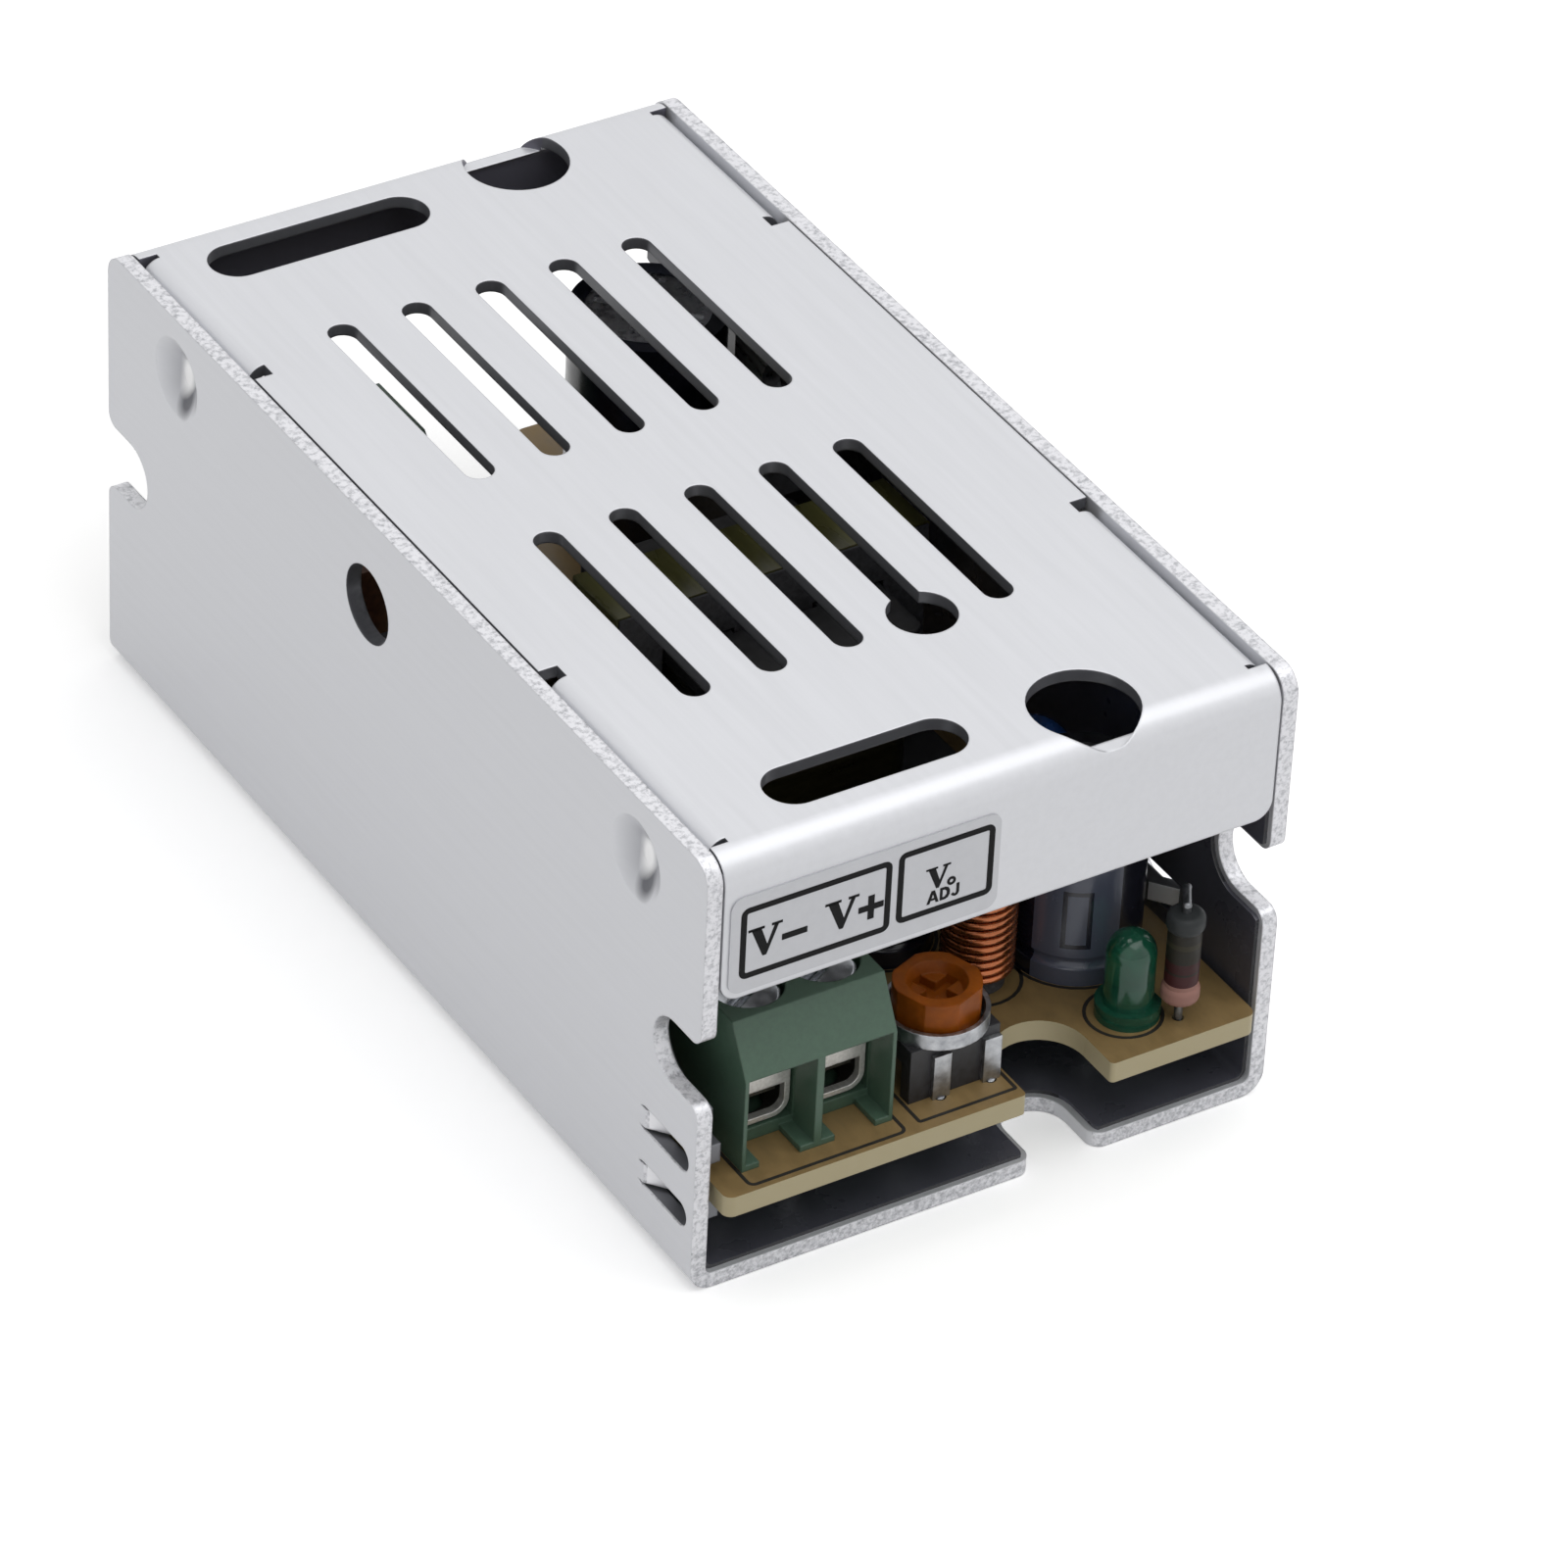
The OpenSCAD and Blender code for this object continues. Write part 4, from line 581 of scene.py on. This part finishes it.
class SUPPLY_OT_circuit_board(Operator):
    """Finishes the board, its legend and its solder joints"""

    bl_idname = "supply.circuit_board"
    bl_label = "Circuit board"

    legend_depth = 0.02 * MM
    # Gaps between the legend and what it goes around
    block_left = 0.25 * MM
    block_right = 0.3 * MM
    block_mouth = 1.35 * MM
    block_back = 0.4 * MM
    block_corner = 0.5 * MM
    trimmer_side = 0.35 * MM
    trimmer_back = 0.7 * MM
    trimmer_from_edge = 0.7 * MM
    sharp_corner = 0.2 * MM
    round_gap = 0.3 * MM
    lamp_gap = 0.45 * MM
    choke_gap = 1.1 * MM
    chip_gap = -0.3 * MM
    bobbin_gap = 0.5 * MM

    def execute(self, context):
        board = context.scene.supply_board
        # Phenolic paper laminate: tan, mottled by its fibres, paler at the sawn edge, lacquered green below
        laminate = finish(
            "Phenolic paper laminate",
            board.laminate,
            darker(board.laminate, 0.78),
            grain=0.9,
            rough=(0.42, 0.6),
            relief=0.004,
            edge=0.06,
            stretch=(1, 2.2, 1),
        )
        tree = laminate.node_tree
        up = facing_along(tree, "Z")
        upright, underside, spread = 0.0, -1.0, 0.4
        paint_over(laminate, "#b9ad8a", within(tree, up, spread, upright))
        paint_over(laminate, "#2c5a38", within(tree, up, spread, underside))
        dress(laminate, "circuit_board")
        # Lead-free solder: bright tin with a slightly frosted skin
        solder = finish(
            "Tin solder", "#d6d8db", "#9fa2a7", grain=0.5, rough=(0.18, 0.4), relief=0.02, Metallic=1.0
        )
        dress(solder, "solder_joints")
        # Legend print: thin matt black epoxy ink
        ink = finish(
            "Legend ink, black", board.legend, darker(board.legend, 0.6), grain=0.3, rough=(0.5, 0.7)
        )
        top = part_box("circuit_board")[1][2]
        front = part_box("circuit_board")[0][1]
        line = board.legend_line
        depth = self.legend_depth
        bm = bmesh.new()
        for name, at_front, at_rear in (
            ("output_terminal_housing", self.block_mouth, self.block_back),
            ("input_terminal_housing", self.block_back, self.block_mouth),
        ):
            low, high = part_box(name)
            x0, x1 = low[0] - self.block_left, high[0] + self.block_right
            outline(bm, x0, low[1] - at_front, x1, high[1] + at_rear, line, self.block_corner, depth)
        low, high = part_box("trimmer_base")
        x0, x1 = low[0] - self.trimmer_side, high[0] + self.trimmer_side
        y0, y1 = front + self.trimmer_from_edge, high[1] + self.trimmer_back
        outline(bm, x0, y0, x1, y1, line, self.sharp_corner, depth)
        for name, gap in (
            ("led_lens", self.lamp_gap),
            ("output_capacitor_1_sleeve", self.round_gap),
            ("output_capacitor_2_sleeve", self.round_gap),
            ("bulk_capacitor_sleeve", self.round_gap),
            ("choke_core", self.choke_gap),
            ("fuse", self.round_gap),
        ):
            low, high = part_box(name)
            radius = (high[1] - low[1]) / 2
            ring_line(bm, high[0] - radius, (low[1] + high[1]) / 2, radius + gap, line, depth)
        for name, gap in (
            ("controller_chip", self.chip_gap),
            ("optocoupler", self.chip_gap),
            ("transformer_bobbin", self.bobbin_gap),
        ):
            low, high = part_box(name)
            x0, x1 = low[0] - gap, high[0] + gap
            outline(bm, x0, low[1] - gap, x1, high[1] + gap, line, self.sharp_corner, depth)
        make_piece("board_legend", bm, ink, Matrix.Translation((0, 0, top)))
        return {"FINISHED"}


class SUPPLY_OT_terminal_blocks(Operator):
    """Finishes the terminal housings, clamps, screws and contacts"""

    bl_idname = "supply.terminal_blocks"
    bl_label = "Terminal blocks"

    def execute(self, context):
        board = context.scene.supply_board
        # Moulded polyamide: muted green, evenly satin, with a fine eroded mould texture
        housing = finish(
            "Polyamide, moulded green",
            board.housing,
            darker(board.housing, 0.86),
            grain=0.35,
            rough=(0.38, 0.5),
            relief=0.006,
            edge=0.15,
        )
        dress(housing, "output_terminal_housing", "input_terminal_housing")
        # Nickel-plated steel: bright, with fine stamping marks, and painted shade darkening the inside of
        # the cage
        for row in ("output", "input"):
            plated = finish(
                f"Nickel-plated steel, {row} clamps",
                "#eceae6",
                "#d6d4cf",
                grain=0.5,
                rough=(0.3, 0.42),
                relief=0.002,
                edge=0.1,
                stretch=(0.4, 3, 0.4),
                Metallic=0.6,
            )
            tree = plated.node_tree
            mouth = max(abs(corner[1]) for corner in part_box(f"{row}_clamp_1"))
            bright_rim = 0.5 * MM
            # Painted shade inside the cage, behind a bright rim at the mouth
            paint_over(plated, "#34322e", within(tree, place_along(tree, "Y"), mouth - bright_rim))
            dress(plated, *[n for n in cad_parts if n.startswith(f"{row}_clamp_")])
        # Zinc-plated steel: the turned screws are a touch bluer and polished
        zinc = finish(
            "Zinc-plated steel",
            "#e2e5ea",
            "#c3c7cd",
            grain=1.2,
            rough=(0.08, 0.16),
            relief=0.002,
            edge=0.2,
            Metallic=1.0,
        )
        dress(zinc, *[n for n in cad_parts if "_screw_" in n])
        # Tin-plated brass, coloured dark as painted shade for the shade deep in the housing
        tinned = finish(
            "Tin-plated brass",
            "#504e47",
            "#3b3934",
            grain=0.8,
            rough=(0.3, 0.45),
            relief=0.004,
            Metallic=1.0,
        )
        dress(tinned, "output_terminal_contacts", "input_terminal_contacts")
        return {"FINISHED"}


class SUPPLY_OT_trimmer(Operator):
    """Finishes the trimmer"""

    bl_idname = "supply.trimmer"
    bl_label = "Trimmer"

    def execute(self, context):
        board = context.scene.supply_board
        # Moulded phenolic: black, slightly dusty and rough
        phenolic = finish(
            "Phenolic, moulded black",
            "#2b2b2e",
            "#18181a",
            grain=0.5,
            rough=(0.4, 0.58),
            relief=0.008,
            edge=0.12,
        )
        dress(phenolic, "trimmer_base")
        # Stamped steel with a dull tin finish
        stamped = finish(
            "Tinned steel, stamped",
            "#b9bbbe",
            "#8d8f93",
            grain=0.6,
            rough=(0.28, 0.42),
            relief=0.006,
            edge=0.08,
            Metallic=1.0,
        )
        dress(stamped, "trimmer_collar", "trimmer_legs")
        # Moulded thermoplastic: orange, with painted shade darkening its dish
        rotor = finish(
            "Thermoplastic, orange",
            board.rotor,
            darker(board.rotor, 0.62),
            grain=1.4,
            rough=(0.3, 0.45),
            relief=0.01,
            edge=0.15,
            Specular_IOR_Level=0.2,
            Subsurface_Weight=0.15,
        )
        rotor.node_tree.nodes["Principled BSDF"].inputs["Subsurface Scale"].default_value = 0.4 * MM
        centre = middle("trimmer_rotor")
        dish = 1.95 * MM
        any_height = 100 * dish
        inside = spot(rotor.node_tree, (centre.x, centre.y, 0), (dish, dish, any_height))
        # Painted shade in the rotor's dish
        paint_over(rotor, darker(board.rotor, 0.7), inside)
        dress(rotor, "trimmer_rotor")
        return {"FINISHED"}


class SUPPLY_OT_lamp(Operator):
    """Finishes the indicator lamp and its resistor"""

    bl_idname = "supply.lamp"
    bl_label = "Indicator lamp"

    def execute(self, context):
        board = context.scene.supply_board
        # Cast epoxy: clear green with faint clouds, glossy like glass
        lens = finish(
            "Epoxy, cast green",
            board.lens,
            darker(board.lens, 0.7),
            grain=1.2,
            rough=(0.1, 0.18),
            relief=0.01,
            IOR=1.52,
            Specular_IOR_Level=0.3,
            Transmission_Weight=0.72,
        )
        dress(lens, "led_lens")
        # Tinned wire: bright, drawn smooth
        wire = finish(
            "Tinned copper wire",
            "#dadcde",
            "#a7a9ac",
            grain=0.5,
            rough=(0.14, 0.28),
            relief=0.004,
            stretch=(1, 1, 4),
            Metallic=1.0,
        )
        dress(
            wire,
            "led_leads",
            "capacitor_leads",
            "safety_capacitor_leads",
            "transformer_pins",
            "chip_legs",
            "diode_leads",
            "fuse_leads",
            "voltage_reference_legs",
        )
        # Dull tinned wire: the resistor's own, coloured grey as painted shade
        dull = finish(
            "Tinned copper wire, dull",
            "#8d8f92",
            "#66686b",
            grain=0.5,
            rough=(0.35, 0.5),
            relief=0.006,
            Metallic=1.0,
        )
        dress(dull, "led_resistor_leads")
        # Epoxy lacquer on the resistor: dark olive with painted bands, the olive darkened further as
        # painted shade above its dusky pink foot
        lacquer = finish(
            "Epoxy lacquer, olive",
            "#221f17",
            "#191712",
            grain=0.6,
            rough=(0.45, 0.6),
            relief=0.012,
            Specular_IOR_Level=0.25,
        )
        tree = lacquer.node_tree
        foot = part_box("led_resistor")[0][2]
        along = place_along(tree, "Z")
        # The foot, three rings and the head: middle height, half width in mm and colour
        bands = (
            (0.7, 0.75, "#9a7268"),
            (1.85, 0.4, "#381416"),
            (2.75, 0.35, "#301213"),
            (4.3, 0.18, "#2f2c20"),
            (5.75, 0.6, "#2d3031"),
        )
        for height, half, colour in bands:
            paint_over(lacquer, colour, within(tree, along, half * MM, foot + height * MM))
        dress(lacquer, "led_resistor")
        return {"FINISHED"}


class SUPPLY_OT_choke(Operator):
    """Finishes the choke"""

    bl_idname = "supply.choke"
    bl_label = "Choke"

    def execute(self, context):
        board = context.scene.supply_board
        # Sintered ferrite: dark grey, dry and slightly sparkling
        ferrite = finish(
            "Ferrite, sintered",
            "#47474a",
            "#2c2c2e",
            grain=0.25,
            rough=(0.45, 0.65),
            relief=0.012,
            edge=0.1,
        )
        dress(ferrite, "choke_core", "transformer_core_lower", "transformer_core_upper")
        # Enamelled copper wire: warm metal under a clear amber varnish
        copper = finish(
            "Copper wire, enamelled",
            board.copper,
            darker(board.copper, 0.6),
            grain=0.9,
            rough=(0.2, 0.34),
            relief=0.004,
            Metallic=0.9,
            Coat_Weight=0.5,
        )
        dress(copper, "choke_winding")
        core_low, core_high = (Vector(corner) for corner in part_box("choke_core"))
        foot = Vector(((core_low.x + core_high.x) / 2, (core_low.y + core_high.y) / 2, core_low.z))
        bm = self.winding((core_high.x - core_low.x) / 2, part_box("choke_winding"), foot.z)
        piece = make_piece("choke_wire", bm, copper, Matrix.Translation(foot))
        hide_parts("choke_winding")
        return {"FINISHED"}

    def winding(self, core_radius, solid, board_top):
        """A smooth helix of round wire about the origin, with both ends led down through the board."""
        wire = 0.5 * MM
        sides = 12
        pitch = 0.57 * MM
        turns = 12.5
        steps = 36
        start = 1.3 * MM
        bottom = solid[0][2] - board_top
        radius = core_radius + 0.58 * wire
        first = math.radians(240)
        bm = bmesh.new()
        ring = bmesh.ops.create_circle(bm, segments=sides, radius=wire / 2)["verts"]
        lean = math.atan2(pitch, 2 * math.pi * radius)
        bmesh.ops.transform(
            bm,
            matrix=Matrix.Rotation(first, 4, "Z")
            @ Matrix.Translation((radius, 0, start))
            @ Matrix.Rotation(lean - math.radians(90), 4, "X"),
            verts=ring,
        )
        bmesh.ops.spin(
            bm,
            geom=bm.edges[:],
            cent=(0, 0, 0),
            axis=(0, 0, 1),
            dvec=(0, 0, pitch / steps),
            angle=2 * math.pi * turns,
            steps=round(steps * turns),
        )
        top = start + pitch * turns
        away = radius + wire * 1.2
        last = first + 2 * math.pi * turns
        for angle, reach, high in ((first, radius, start), (last, away, top)):
            post = bmesh.ops.create_cone(
                bm, cap_ends=True, segments=sides, radius1=wire / 2, radius2=wire / 2, depth=high - bottom
            )["verts"]
            move = (reach * math.cos(angle), reach * math.sin(angle), (high + bottom) / 2)
            bmesh.ops.translate(bm, vec=move, verts=post)
            knee = bmesh.ops.create_uvsphere(bm, u_segments=sides, v_segments=8, radius=wire / 2)["verts"]
            bmesh.ops.translate(bm, vec=(move[0], move[1], high), verts=knee)
        bridge = bmesh.ops.create_cone(
            bm, cap_ends=True, segments=sides, radius1=wire / 2, radius2=wire / 2, depth=away - radius
        )["verts"]
        bmesh.ops.transform(
            bm,
            matrix=Matrix.Rotation(last, 4, "Z")
            @ Matrix.Translation(((away + radius) / 2, 0, top))
            @ Matrix.Rotation(math.radians(90), 4, "Y"),
            verts=bridge,
        )
        for face in bm.faces:
            face.smooth = True
        return bm


class SUPPLY_OT_capacitors(Operator):
    """Finishes the capacitors"""

    bl_idname = "supply.capacitors"
    bl_label = "Capacitors"

    # Minus stripe, and the marks on it up from the sleeve's foot
    stripe_width = 5.4 * MM
    mark_pitch = 7.5 * MM
    mark_middle = 4.75 * MM
    mark_width = 1.8 * MM
    mark_length = 4.1 * MM
    mark_line = 0.3 * MM

    def execute(self, context):
        board = context.scene.supply_board
        # Drawn aluminium: bright top with faint drawing marks
        can = finish(
            "Aluminium, deep drawn",
            "#dcdde0",
            "#bfc0c4",
            grain=0.7,
            rough=(0.22, 0.36),
            relief=0.005,
            edge=0.1,
            Metallic=1.0,
        )
        dress(can, "output_capacitor_1", "output_capacitor_2", "bulk_capacitor")
        for name, stripe_degrees in (
            ("output_capacitor_1_sleeve", -123),
            ("output_capacitor_2_sleeve", 20),
            ("bulk_capacitor_sleeve", 60),
        ):
            dress(self.shrink_sleeve(name, stripe_degrees, board.sleeve, board.stripe), name)
        # Dipped epoxy of the disc: glossy blue with soft sags
        dipped = finish(
            "Epoxy, dipped blue",
            "#2f63b4",
            "#244f96",
            grain=2.2,
            rough=(0.2, 0.32),
            relief=0.08,
            Coat_Weight=0.3,
        )
        dress(dipped, "safety_capacitor")
        return {"FINISHED"}

    def shrink_sleeve(self, name, stripe_degrees, sleeve, stripe):
        """A dark sleeve with a pale stripe that carries outlined minus marks."""
        # Polyvinyl chloride, shrunk on: glossy and smooth
        material = finish(
            f"Polyvinyl chloride sleeve, {name}",
            sleeve,
            darker(sleeve, 0.7),
            grain=1.5,
            rough=(0.16, 0.28),
            relief=0.01,
        )
        tree = material.node_tree
        centre = middle(name)
        low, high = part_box(name)
        radius = (high[0] - low[0]) / 2
        turned = add(
            tree,
            "ShaderNodeMapping",
            {
                "Vector": add(tree, "ShaderNodeTexCoord").outputs["Object"],
                "Location": (centre.x, centre.y, low[2]),
                "Rotation": (0, 0, math.radians(stripe_degrees)),
            },
            vector_type="TEXTURE",
        )
        local = add(tree, "ShaderNodeSeparateXYZ", {0: turned.outputs["Vector"]}).outputs
        angle = add(tree, "ShaderNodeMath", {0: local["Y"], 1: local["X"]}, operation="ARCTAN2").outputs[0]
        arc = add(tree, "ShaderNodeMath", {0: angle, 1: radius}, operation="MULTIPLY").outputs[0]
        height = add(
            tree, "ShaderNodeMath", {0: local["Z"], 1: self.mark_pitch}, operation="MODULO"
        ).outputs[0]
        paint_over(material, stripe, within(tree, arc, self.stripe_width / 2))
        for inset, colour in ((0.0, sleeve), (self.mark_line, stripe)):
            across = within(tree, arc, self.mark_width / 2 - inset)
            along = within(tree, height, self.mark_length / 2 - inset, self.mark_middle)
            paint_over(material, colour, across, along)
        return material


class SUPPLY_OT_transformer(Operator):
    """Finishes the transformer"""

    bl_idname = "supply.transformer"
    bl_label = "Transformer"

    def execute(self, context):
        # Moulded bobbin: black phenolic with a fine grain
        bobbin = finish(
            "Phenolic, bobbin black",
            "#2a2a2c",
            "#18181a",
            grain=0.6,
            rough=(0.42, 0.6),
            relief=0.01,
            edge=0.15,
        )
        dress(bobbin, "transformer_bobbin")
        # Polyester tape: olive yellow, glossy, with creases from winding
        tape = finish(
            "Polyester tape, olive",
            "#66653a",
            "#4d4c2a",
            grain=2.5,
            rough=(0.2, 0.35),
            relief=0.06,
            stretch=(1, 4, 1),
        )
        dress(tape, "transformer_tape")
        # The same tape around the coil, darker as painted shade, and creased along its turns
        wound = finish(
            "Polyester tape, winding",
            "#3a3724",
            "#24220f",
            grain=1.2,
            rough=(0.25, 0.42),
            relief=0.05,
            stretch=(4, 4, 0.5),
        )
        dress(wound, "transformer_winding")
        return {"FINISHED"}


class SUPPLY_OT_semiconductors(Operator):
    """Finishes the chips, diodes, transistor, reference and fuse"""

    bl_idname = "supply.semiconductors"
    bl_label = "Semiconductors and fuse"

    def execute(self, context):
        # Moulding compound: dark grey epoxy, eroded matt
        compound = finish(
            "Epoxy moulding compound",
            "#303033",
            "#1c1c1e",
            grain=0.3,
            rough=(0.45, 0.62),
            relief=0.01,
            edge=0.1,
        )
        dress(compound, "controller_chip", "power_transistor", "voltage_reference")
        # White moulding compound, slightly yellowed
        white = finish(
            "Epoxy moulding compound, white",
            "#e6e3da",
            "#d2cec2",
            grain=0.4,
            rough=(0.4, 0.55),
            relief=0.008,
        )
        dress(white, "optocoupler")
        for name in ("rectifier_diodes", "output_diode"):
            dress(self.banded(name), name)
        # Tinned copper tab: satin with rolling marks
        tab = finish(
            "Tinned copper tab",
            "#c9cacc",
            "#a4a6a9",
            grain=0.5,
            rough=(0.25, 0.4),
            relief=0.006,
            edge=0.1,
            stretch=(1, 8, 1),
            Metallic=1.0,
        )
        dress(tab, "power_transistor_tab")
        # Moulded fuse cap: brown polyamide
        cap = finish(
            "Polyamide, brown", "#6b4632", "#4d3022", grain=0.5, rough=(0.35, 0.5), relief=0.01, edge=0.15
        )
        dress(cap, "fuse")
        return {"FINISHED"}

    def banded(self, name):
        """A black body with a silver ring near the rear end of each lying diode."""
        # Epoxy, moulded: black, with a slight sheen
        material = finish(
            f"Epoxy, {name}", "#2c2d30", "#19191b", grain=0.3, rough=(0.32, 0.46), relief=0.006, edge=0.1
        )
        tree = material.node_tree
        low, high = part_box(name)
        length = high[1] - low[1]
        ring_middle = high[1] - 0.2 * length
        ring_width = 0.18 * length
        paint_over(material, "#b7b9bc", within(tree, place_along(tree, "Y"), ring_width / 2, ring_middle))
        return material


class SUPPLY_OT_studio(Operator):
    """Sets up the camera, the floor and the light"""

    bl_idname = "supply.studio"
    bl_label = "Studio"

    # Where the camera stands and looks from: azimuth from the front, elevation and roll, in degrees
    camera_place = Vector((-225.58, -358.334, 319.529)) * MM
    camera_angles = (-33.089, 36.466, 2.929)
    floor_size = 6.0
    floor_gap = 0.05 * MM
    floor_glow = 0.27
    aim = Vector((0, 0, 15)) * MM

    def execute(self, context):
        studio = context.scene.supply_studio
        self.camera(context, studio)
        self.floor(studio)
        self.light(context, studio)
        context.scene.view_settings.view_transform = "Standard"
        return {"FINISHED"}

    def camera(self, context, studio):
        """A long lens above the left front corner of the case."""
        azimuth, elevation, roll = (math.radians(a) for a in self.camera_angles)
        back = Vector(
            (
                math.sin(azimuth) * math.cos(elevation),
                -math.cos(azimuth) * math.cos(elevation),
                math.sin(elevation),
            )
        )
        right = Vector((0, 0, 1)).cross(back).normalized()
        up = back.cross(right)
        turned_x = math.cos(roll) * right + math.sin(roll) * up
        turned_y = math.cos(roll) * up - math.sin(roll) * right
        data = bpy.data.cameras.new("studio_camera")
        data.sensor_width = 36
        data.lens = studio.lens
        data.clip_end = 10
        camera = bpy.data.objects.new("studio_camera", data)
        context.scene.collection.objects.link(camera)
        turn = Matrix((turned_x, turned_y, back)).transposed().to_4x4()
        camera.matrix_world = Matrix.Translation(self.camera_place) @ turn
        context.scene.camera = camera

    def seen_rays(self, tree):
        """1 for what the camera sees, straight or by way of metal and glass."""
        path = add(tree, "ShaderNodeLightPath")
        seen = path.outputs["Is Camera Ray"]
        for ray in ("Is Glossy Ray", "Is Transmission Ray"):
            seen = add(
                tree, "ShaderNodeMath", {0: seen, 1: path.outputs[ray]}, operation="MAXIMUM"
            ).outputs[0]
        return seen

    def floor(self, studio):
        """A wide pale floor."""
        bm = bmesh.new()
        bmesh.ops.create_grid(bm, x_segments=1, y_segments=1, size=self.floor_size / 2)
        bmesh.ops.translate(bm, vec=(0, 0, -self.floor_gap), verts=bm.verts)
        mesh = bpy.data.meshes.new("studio_floor")
        bm.to_mesh(mesh)
        bm.free()
        floor = bpy.data.objects.new("studio_floor", mesh)
        bpy.context.scene.collection.objects.link(floor)
        # Painted board: plain and matt, white where it is seen and grey in the light that it throws back
        paint = finish(
            "Floor paint",
            darker(studio.floor, 0.5),
            darker(studio.floor, 0.48),
            grain=40,
            rough=(0.85, 0.9),
        )
        tree = paint.node_tree
        seen = self.seen_rays(tree)
        paint_over(paint, studio.floor, seen)
        glow = add(tree, "ShaderNodeMapRange", {"Value": seen, "To Min": 0.0, "To Max": self.floor_glow})
        shader = tree.nodes["Principled BSDF"]
        shader.inputs["Emission Color"].default_value = studio.floor
        tree.links.new(glow.outputs["Result"], shader.inputs["Emission Strength"])
        mesh.materials.append(paint)

    def light(self, context, studio):
        """An even white surround, a broad key from above and a soft one from the front right."""
        world = bpy.data.worlds.new("studio_world")
        world.use_nodes = True
        tree = world.node_tree
        tree.nodes.clear()
        strength = add(
            tree,
            "ShaderNodeMapRange",
            {"Value": self.seen_rays(tree), "To Min": studio.fill, "To Max": 1.0},
        )
        surround = add(
            tree, "ShaderNodeBackground", {"Color": studio.floor, "Strength": strength.outputs["Result"]}
        )
        add(tree, "ShaderNodeOutputWorld", {"Surface": surround.outputs["Background"]})
        context.scene.world = world
        # Place in mm, width in metres and share of the key's power
        for name, place, size, share in (
            ("key_light", (40, -90, 420), 0.5, 1.0),
            ("front_light", (260, -330, 190), 0.3, 0.05),
        ):
            data = bpy.data.lights.new(name, "AREA")
            data.shape = "SQUARE"
            data.size = size
            data.energy = studio.key * share
            lamp = bpy.data.objects.new(name, data)
            context.scene.collection.objects.link(lamp)
            lamp.location = Vector(place) * MM
            lamp.rotation_euler = (self.aim - lamp.location).to_track_quat("-Z", "Y").to_euler()


OPERATORS = (
    SUPPLY_OT_case_sheet,
    SUPPLY_OT_terminal_label,
    SUPPLY_OT_circuit_board,
    SUPPLY_OT_terminal_blocks,
    SUPPLY_OT_trimmer,
    SUPPLY_OT_lamp,
    SUPPLY_OT_choke,
    SUPPLY_OT_capacitors,
    SUPPLY_OT_transformer,
    SUPPLY_OT_semiconductors,
    SUPPLY_OT_studio,
)


class SUPPLY_PT_panel(Panel):
    """Lists the power supply's settings and steps"""

    bl_idname = "SUPPLY_PT_panel"
    bl_label = "Power Supply"
    bl_space_type = "VIEW_3D"
    bl_region_type = "UI"
    bl_category = "Power Supply"

    def draw(self, context):
        """Draws the settings, then a button for each step."""
        for name in ("supply_case", "supply_board", "supply_studio"):
            group = getattr(context.scene, name)
            box = self.layout.box()
            for key in group.__annotations__:
                box.prop(group, key)
        for operator in OPERATORS:
            self.layout.operator(operator.bl_idname)


CLASSES = (CaseFinish, BoardFinish, StudioSettings, *OPERATORS, SUPPLY_PT_panel)


def register():
    """Adds the classes and the scene's settings."""
    for cls in CLASSES:
        bpy.utils.register_class(cls)
    bpy.types.Scene.supply_case = PointerProperty(type=CaseFinish)
    bpy.types.Scene.supply_board = PointerProperty(type=BoardFinish)
    bpy.types.Scene.supply_studio = PointerProperty(type=StudioSettings)


def unregister():
    """Takes the classes and the scene's settings away again."""
    del bpy.types.Scene.supply_studio
    del bpy.types.Scene.supply_board
    del bpy.types.Scene.supply_case
    for cls in reversed(CLASSES):
        bpy.utils.unregister_class(cls)


def main():
    """Runs every step."""
    register()
    for operator in OPERATORS:
        group, name = operator.bl_idname.split(".")
        getattr(getattr(bpy.ops, group), name)()


if __name__ == "__main__":
    main()
